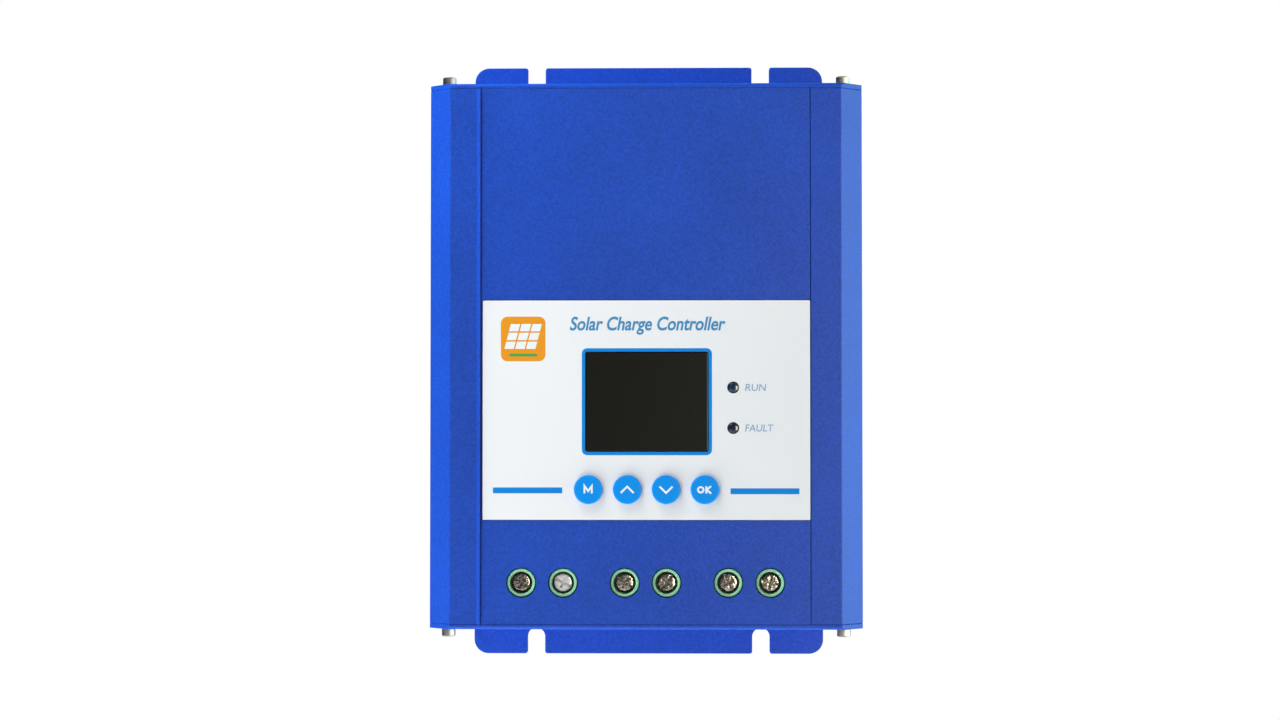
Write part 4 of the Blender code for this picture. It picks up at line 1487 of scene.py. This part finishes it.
@dataclass
class PowerBoard:
    """Main board on its spacers, with the heavy pieces on the side that faces the wall."""

    turns: int = 34
    wire: float = 0.75 * MM
    sectors: int = 72
    loop_steps: int = 24
    crimp: Pair = (0.5 * MM, 3.2 * MM)
    bare_end: float = 0.86
    vent: Pair = (1.3, 0.4 * MM)

    def build(self) -> None:
        """Dress the boards and build the capacitors, the inductor and the spreader."""
        dress_node("main_board", Finishes.BOARD)
        for number in range(1, 5):
            name = f"board_spacer_{number}"
            refine_node(name, f"{name}_hexagon", Finishes.BRASS, 0.4 * MM)
        for number in (1, 2):
            self._build_capacitor(f"capacitor_{number}")
        self._build_inductor()
        refine_node("heat_spreader", "heat_spreader_angle", Finishes.ALUMINIUM, 0.5 * MM)

    def _build_capacitor(self, name: str) -> None:
        """Sleeved can with a crimp groove, and a bare end with a vent cross."""
        extent = Extent.of(name)
        low, high = extent.h
        radius = extent.size[0] / 2
        crimp, waist = high - self.crimp[1], radius - self.crimp[0]
        profile = [(radius * self.bare_end, low + 0.12 * MM), (radius * 0.87, low),
                   (radius - 0.5 * MM, low), (radius - 0.12 * MM, low + 0.2 * MM),
                   (radius, low + 0.7 * MM),
                   (radius, crimp - MM), (waist, crimp - 0.3 * MM),
                   (waist, crimp + 0.3 * MM), (radius, crimp + MM),
                   (radius, high - 0.4 * MM), (radius - 0.4 * MM, high)]
        Solid(turned(profile, extent.centre)).piece(f"{name}_sleeve", Finishes.SLEEVE,
                                                    replaces=[name])
        end = drum(self.bare_end * radius, low + 0.1 * MM, low + 0.6 * MM, extent.centre)
        solid = Solid(end)
        length, width = self.vent[0] * radius, self.vent[1]
        for size, depth in (((length, width), 0.35 * MM), ((width, length), 0.3 * MM)):
            solid.cut(prism(rectangle(*size, extent.centre), low - MM, low + depth))
        solid.piece(f"{name}_end", Finishes.ALUMINIUM)

    def _build_inductor(self) -> None:
        """Ring core wound with round enamelled wire."""
        extent = Extent.of("inductor")
        tube = (extent.h[1] - extent.h[0]) / 2
        spine = extent.size[0] / 2 - tube
        middle = sum(extent.h) / 2
        u, v = extent.centre
        core = tube - 2 * self.wire
        rings = []
        square = rectangle(1.8 * core, 1.8 * core, (spine, middle), 1.5 * MM, 4)
        for step in range(self.sectors):
            angle = tau * step / self.sectors
            rings.append([(u + a * cos(angle), v + a * sin(angle), h) for a, h in square])
        Solid(Shell(rings, closed=True)).piece("inductor_core", Finishes.SLEEVE)
        loop = []
        path = tube - self.wire
        for step in range(self.loop_steps):
            angle = tau * step / self.loop_steps
            loop.append([((path + self.wire * a) * cos(angle), self.wire * b,
                          (path + self.wire * a) * sin(angle)) for a, b in disc(1.0, 10)])
        winding = Circle(self.turns, spine).of(Solid(Shell(loop, closed=True)), Finishes.COPPER)
        winding.mesh.transform(Matrix.Translation(world((u, v, middle))))
        winding.piece("inductor_winding", Finishes.COPPER, replaces=["inductor"])


@dataclass
class SmallParts:
    """Chips strewn over both boards, and power transistors on the spreader."""

    chip: Triple = (2.0 * MM, 1.2 * MM, 0.55 * MM)
    circuit: Triple = (5.0 * MM, 4.0 * MM, 1.5 * MM)
    case: Triple = (10.2 * MM, 4.5 * MM, 15.0 * MM)
    transistors: int = 6
    spacing: float = 17.0 * MM
    spreader_leg: Pair = (8.0 * MM, 4.0 * MM)
    apart: float = 2.2
    share: float = 0.48
    gap: float = 0.02 * MM

    @staticmethod
    def _block(size: Triple, outward: float) -> Solid:
        """A small moulded body on the plane h = 0, standing out of it or, with -1, behind it."""
        width, height, depth = size
        return Solid(prism(rectangle(width, height), 0.0, outward * depth)).broken_edges(
            0.12 * MM, 1)

    @staticmethod
    def _field(centre: Pair, size: Pair, height: float) -> bpy.types.Mesh:
        """A flat face for parts to be strewn on."""
        mesh = bpy.data.meshes.new("field")
        mesh.from_pydata([world((u, v, height)) for u, v in rectangle(*size, centre)[::2]], [],
                         [(0, 1, 2, 3)])
        return mesh

    def build(self) -> None:
        """Strew the chips and circuits, then stand the transistors on the spreader."""
        board, display = Extent.of("main_board"), Extent.of("display_board")
        front, back = board.h[1] + self.gap, board.h[0] - self.gap
        fields = (("front_chips", self.chip, Finishes.CERAMIC, (-36.0 * MM, 62.0 * MM),
                   (58.0 * MM, 50.0 * MM), front, 1.0, 3),
                  ("front_circuits", self.circuit, Finishes.BLACK, (34.0 * MM, 70.0 * MM),
                   (56.0 * MM, 40.0 * MM), front, 1.0, 8),
                  ("wall_side_chips", self.chip, Finishes.CERAMIC, (-6.0 * MM, -46.0 * MM),
                   (90.0 * MM, 36.0 * MM), back, -1.0, 5),
                  ("display_chips", self.chip, Finishes.CERAMIC, (22.0 * MM, -18.0 * MM),
                   (26.0 * MM, 40.0 * MM), display.h[0] - self.gap, -1.0, 6))
        for name, size, finish, centre, reach, height, outward, seed in fields:
            apart = self.apart * max(size[:2])
            copies = Scatter(self.share / apart ** 2, apart, seed).of(
                self._block(size, outward), finish, self._field(centre, reach, height))
            copies.piece(name, finish)
        spreader = Extent.of("heat_spreader")
        width, thick, tall = self.case
        across, leg = self.spreader_leg
        foot = spreader.h[1] - leg - self.gap
        case = Solid(prism(rectangle(thick, width), foot - tall, foot)).broken_edges(0.3 * MM, 2)
        case.mesh.transform(Matrix.Translation((spreader.u[0] + across, 0.0, 0.0)))
        row = Row(self.transistors, (0.0, 0.0, self.spacing)).of(case, Finishes.BLACK)
        row.piece("power_transistors", Finishes.BLACK)


# Stage

@dataclass(frozen=True)
class SoftLight:
    """An area light, as wide and tall as its size, that faces a point."""

    name: str
    place: Triple
    aim: Triple
    size: Pair
    power: float
    tone: Triple = (1.0, 1.0, 1.0)
    matt: bool = True
    gloss: bool = True

    def hang(self) -> None:
        """Add the light."""
        light = bpy.data.lights.new(self.name, "AREA")
        light.energy = self.power
        light.shape = "RECTANGLE"
        light.size, light.size_y = self.size
        light.color = self.tone
        lamp = bpy.data.objects.new(self.name, light)
        lamp.location = self.place
        lamp.visible_diffuse = self.matt
        lamp.visible_glossy = self.gloss
        toward = Vector(self.aim) - Vector(self.place)
        lamp.rotation_euler = toward.to_track_quat("-Z", "Y").to_euler()
        bpy.context.collection.objects.link(lamp)


@dataclass
class Studio:
    """Plain white surroundings, soft lights, a pale floor and the camera."""

    eye: Triple = (19.9 * MM, -1066.0 * MM, -28.3 * MM)
    pitch: float = 1.521
    yaw: float = 1.266
    lens: float = 71.25
    floor: Pair = (6.0, -0.62)
    fill: float = 0.06
    lights: tuple[SoftLight, ...] = (
        SoftLight("key_high", (-0.42, -0.34, 0.33), (0.0, -0.066, 0.0), (0.6, 0.6), 1.38,
                  gloss=False),
        SoftLight("key_low", (-0.42, -0.34, -0.30), (0.0, -0.066, 0.0), (0.6, 0.5), 1.45,
                  gloss=False),
        SoftLight("left_strip", (-0.75, -0.08, 0.0), (0.0, -0.03, 0.0), (0.24, 1.0), 1.3,
                  gloss=False),
        SoftLight("right_strip", (0.75, -0.04, 0.0), (0.0, -0.03, 0.0), (0.24, 1.0), 8.6,
                  (0.6, 1.0, 0.95)),
        SoftLight("sheen_light", (0.38, -0.42, -0.03), (0.03, -0.066, 0.0), (0.3, 0.4), 4.6,
                  (1.0, 0.95, 0.65), matt=False),
        SoftLight("top_strip", (-0.20, -0.12, 0.38), (-0.03, 0.0, 0.11), (0.3, 0.1), 2.4,
                  gloss=False),
        SoftLight("bottom_strip", (-0.22, -0.10, -0.38), (-0.03, 0.0, -0.11), (0.3, 0.1), 1.1,
                  gloss=False),
        SoftLight("glint_high", (-0.30, -0.45, 0.55), (0.0, -0.04, 0.0), (0.12, 0.12), 0.9,
                  matt=False),
        SoftLight("glint_low", (-0.40, -0.45, -0.45), (0.0, -0.04, 0.0), (0.12, 0.12), 0.6,
                  matt=False),
        SoftLight("back_light", (0.5, 0.9, 0.5), (0.0, 0.0, 0.0), (0.8, 0.8), 14.0),
    )

    def build(self) -> None:
        """Set the stage."""
        scene = bpy.context.scene
        scene.view_settings.view_transform = "Standard"
        self._surround(scene)
        for light in self.lights:
            light.hang()
        size, height = self.floor
        mesh = bpy.data.meshes.new("floor")
        corners = [(u * size / 2, v * size / 2, height) for u, v in ((-1, -1), (1, -1), (1, 1),
                                                                     (-1, 1))]
        mesh.from_pydata(corners, [], [(0, 1, 2, 3)])
        mesh.materials.append(Finishes.FLOOR.value.material())
        floor = bpy.data.objects.new("floor", mesh)
        scene.collection.objects.link(floor)
        camera = bpy.data.objects.new("camera", bpy.data.cameras.new("camera"))
        camera.data.lens = self.lens
        camera.location = self.eye
        camera.rotation_euler = (radians(90 + self.pitch), 0.0, radians(self.yaw))
        scene.collection.objects.link(camera)
        scene.camera = camera

    def _surround(self, scene: bpy.types.Scene) -> None:
        """White behind the object, and a dimmer even fill on it."""
        world_data = bpy.data.worlds.new("studio")
        scene.world = world_data
        world_data.use_nodes = True
        graph = Graph(world_data.node_tree)
        seen = Value(graph, graph.node("ShaderNodeLightPath").outputs["Is Camera Ray"])
        background = world_data.node_tree.nodes["Background"]
        background.inputs["Color"].default_value = (1.0, 1.0, 1.0, 1.0)
        graph.feed(background.inputs["Strength"], seen * (1 - self.fill) + self.fill)


def main() -> None:
    """Build every sub-assembly in order, then the stage."""
    logging.basicConfig(level=logging.INFO, format="%(name)s: %(message)s")
    openings, terminals, screws = Openings(), Terminals(), EndScrews()
    WallPlate().build()
    Rails().build(screws)
    FrontPanel().build(openings, terminals)
    EndPlates().build(screws, terminals)
    screws.build()
    Label().build(openings)
    Display().build(openings)
    Lamps().build()
    Keys().build()
    terminals.build()
    PowerBoard().build()
    SmallParts().build()
    Studio().build()


if __name__ == "__main__":
    main()
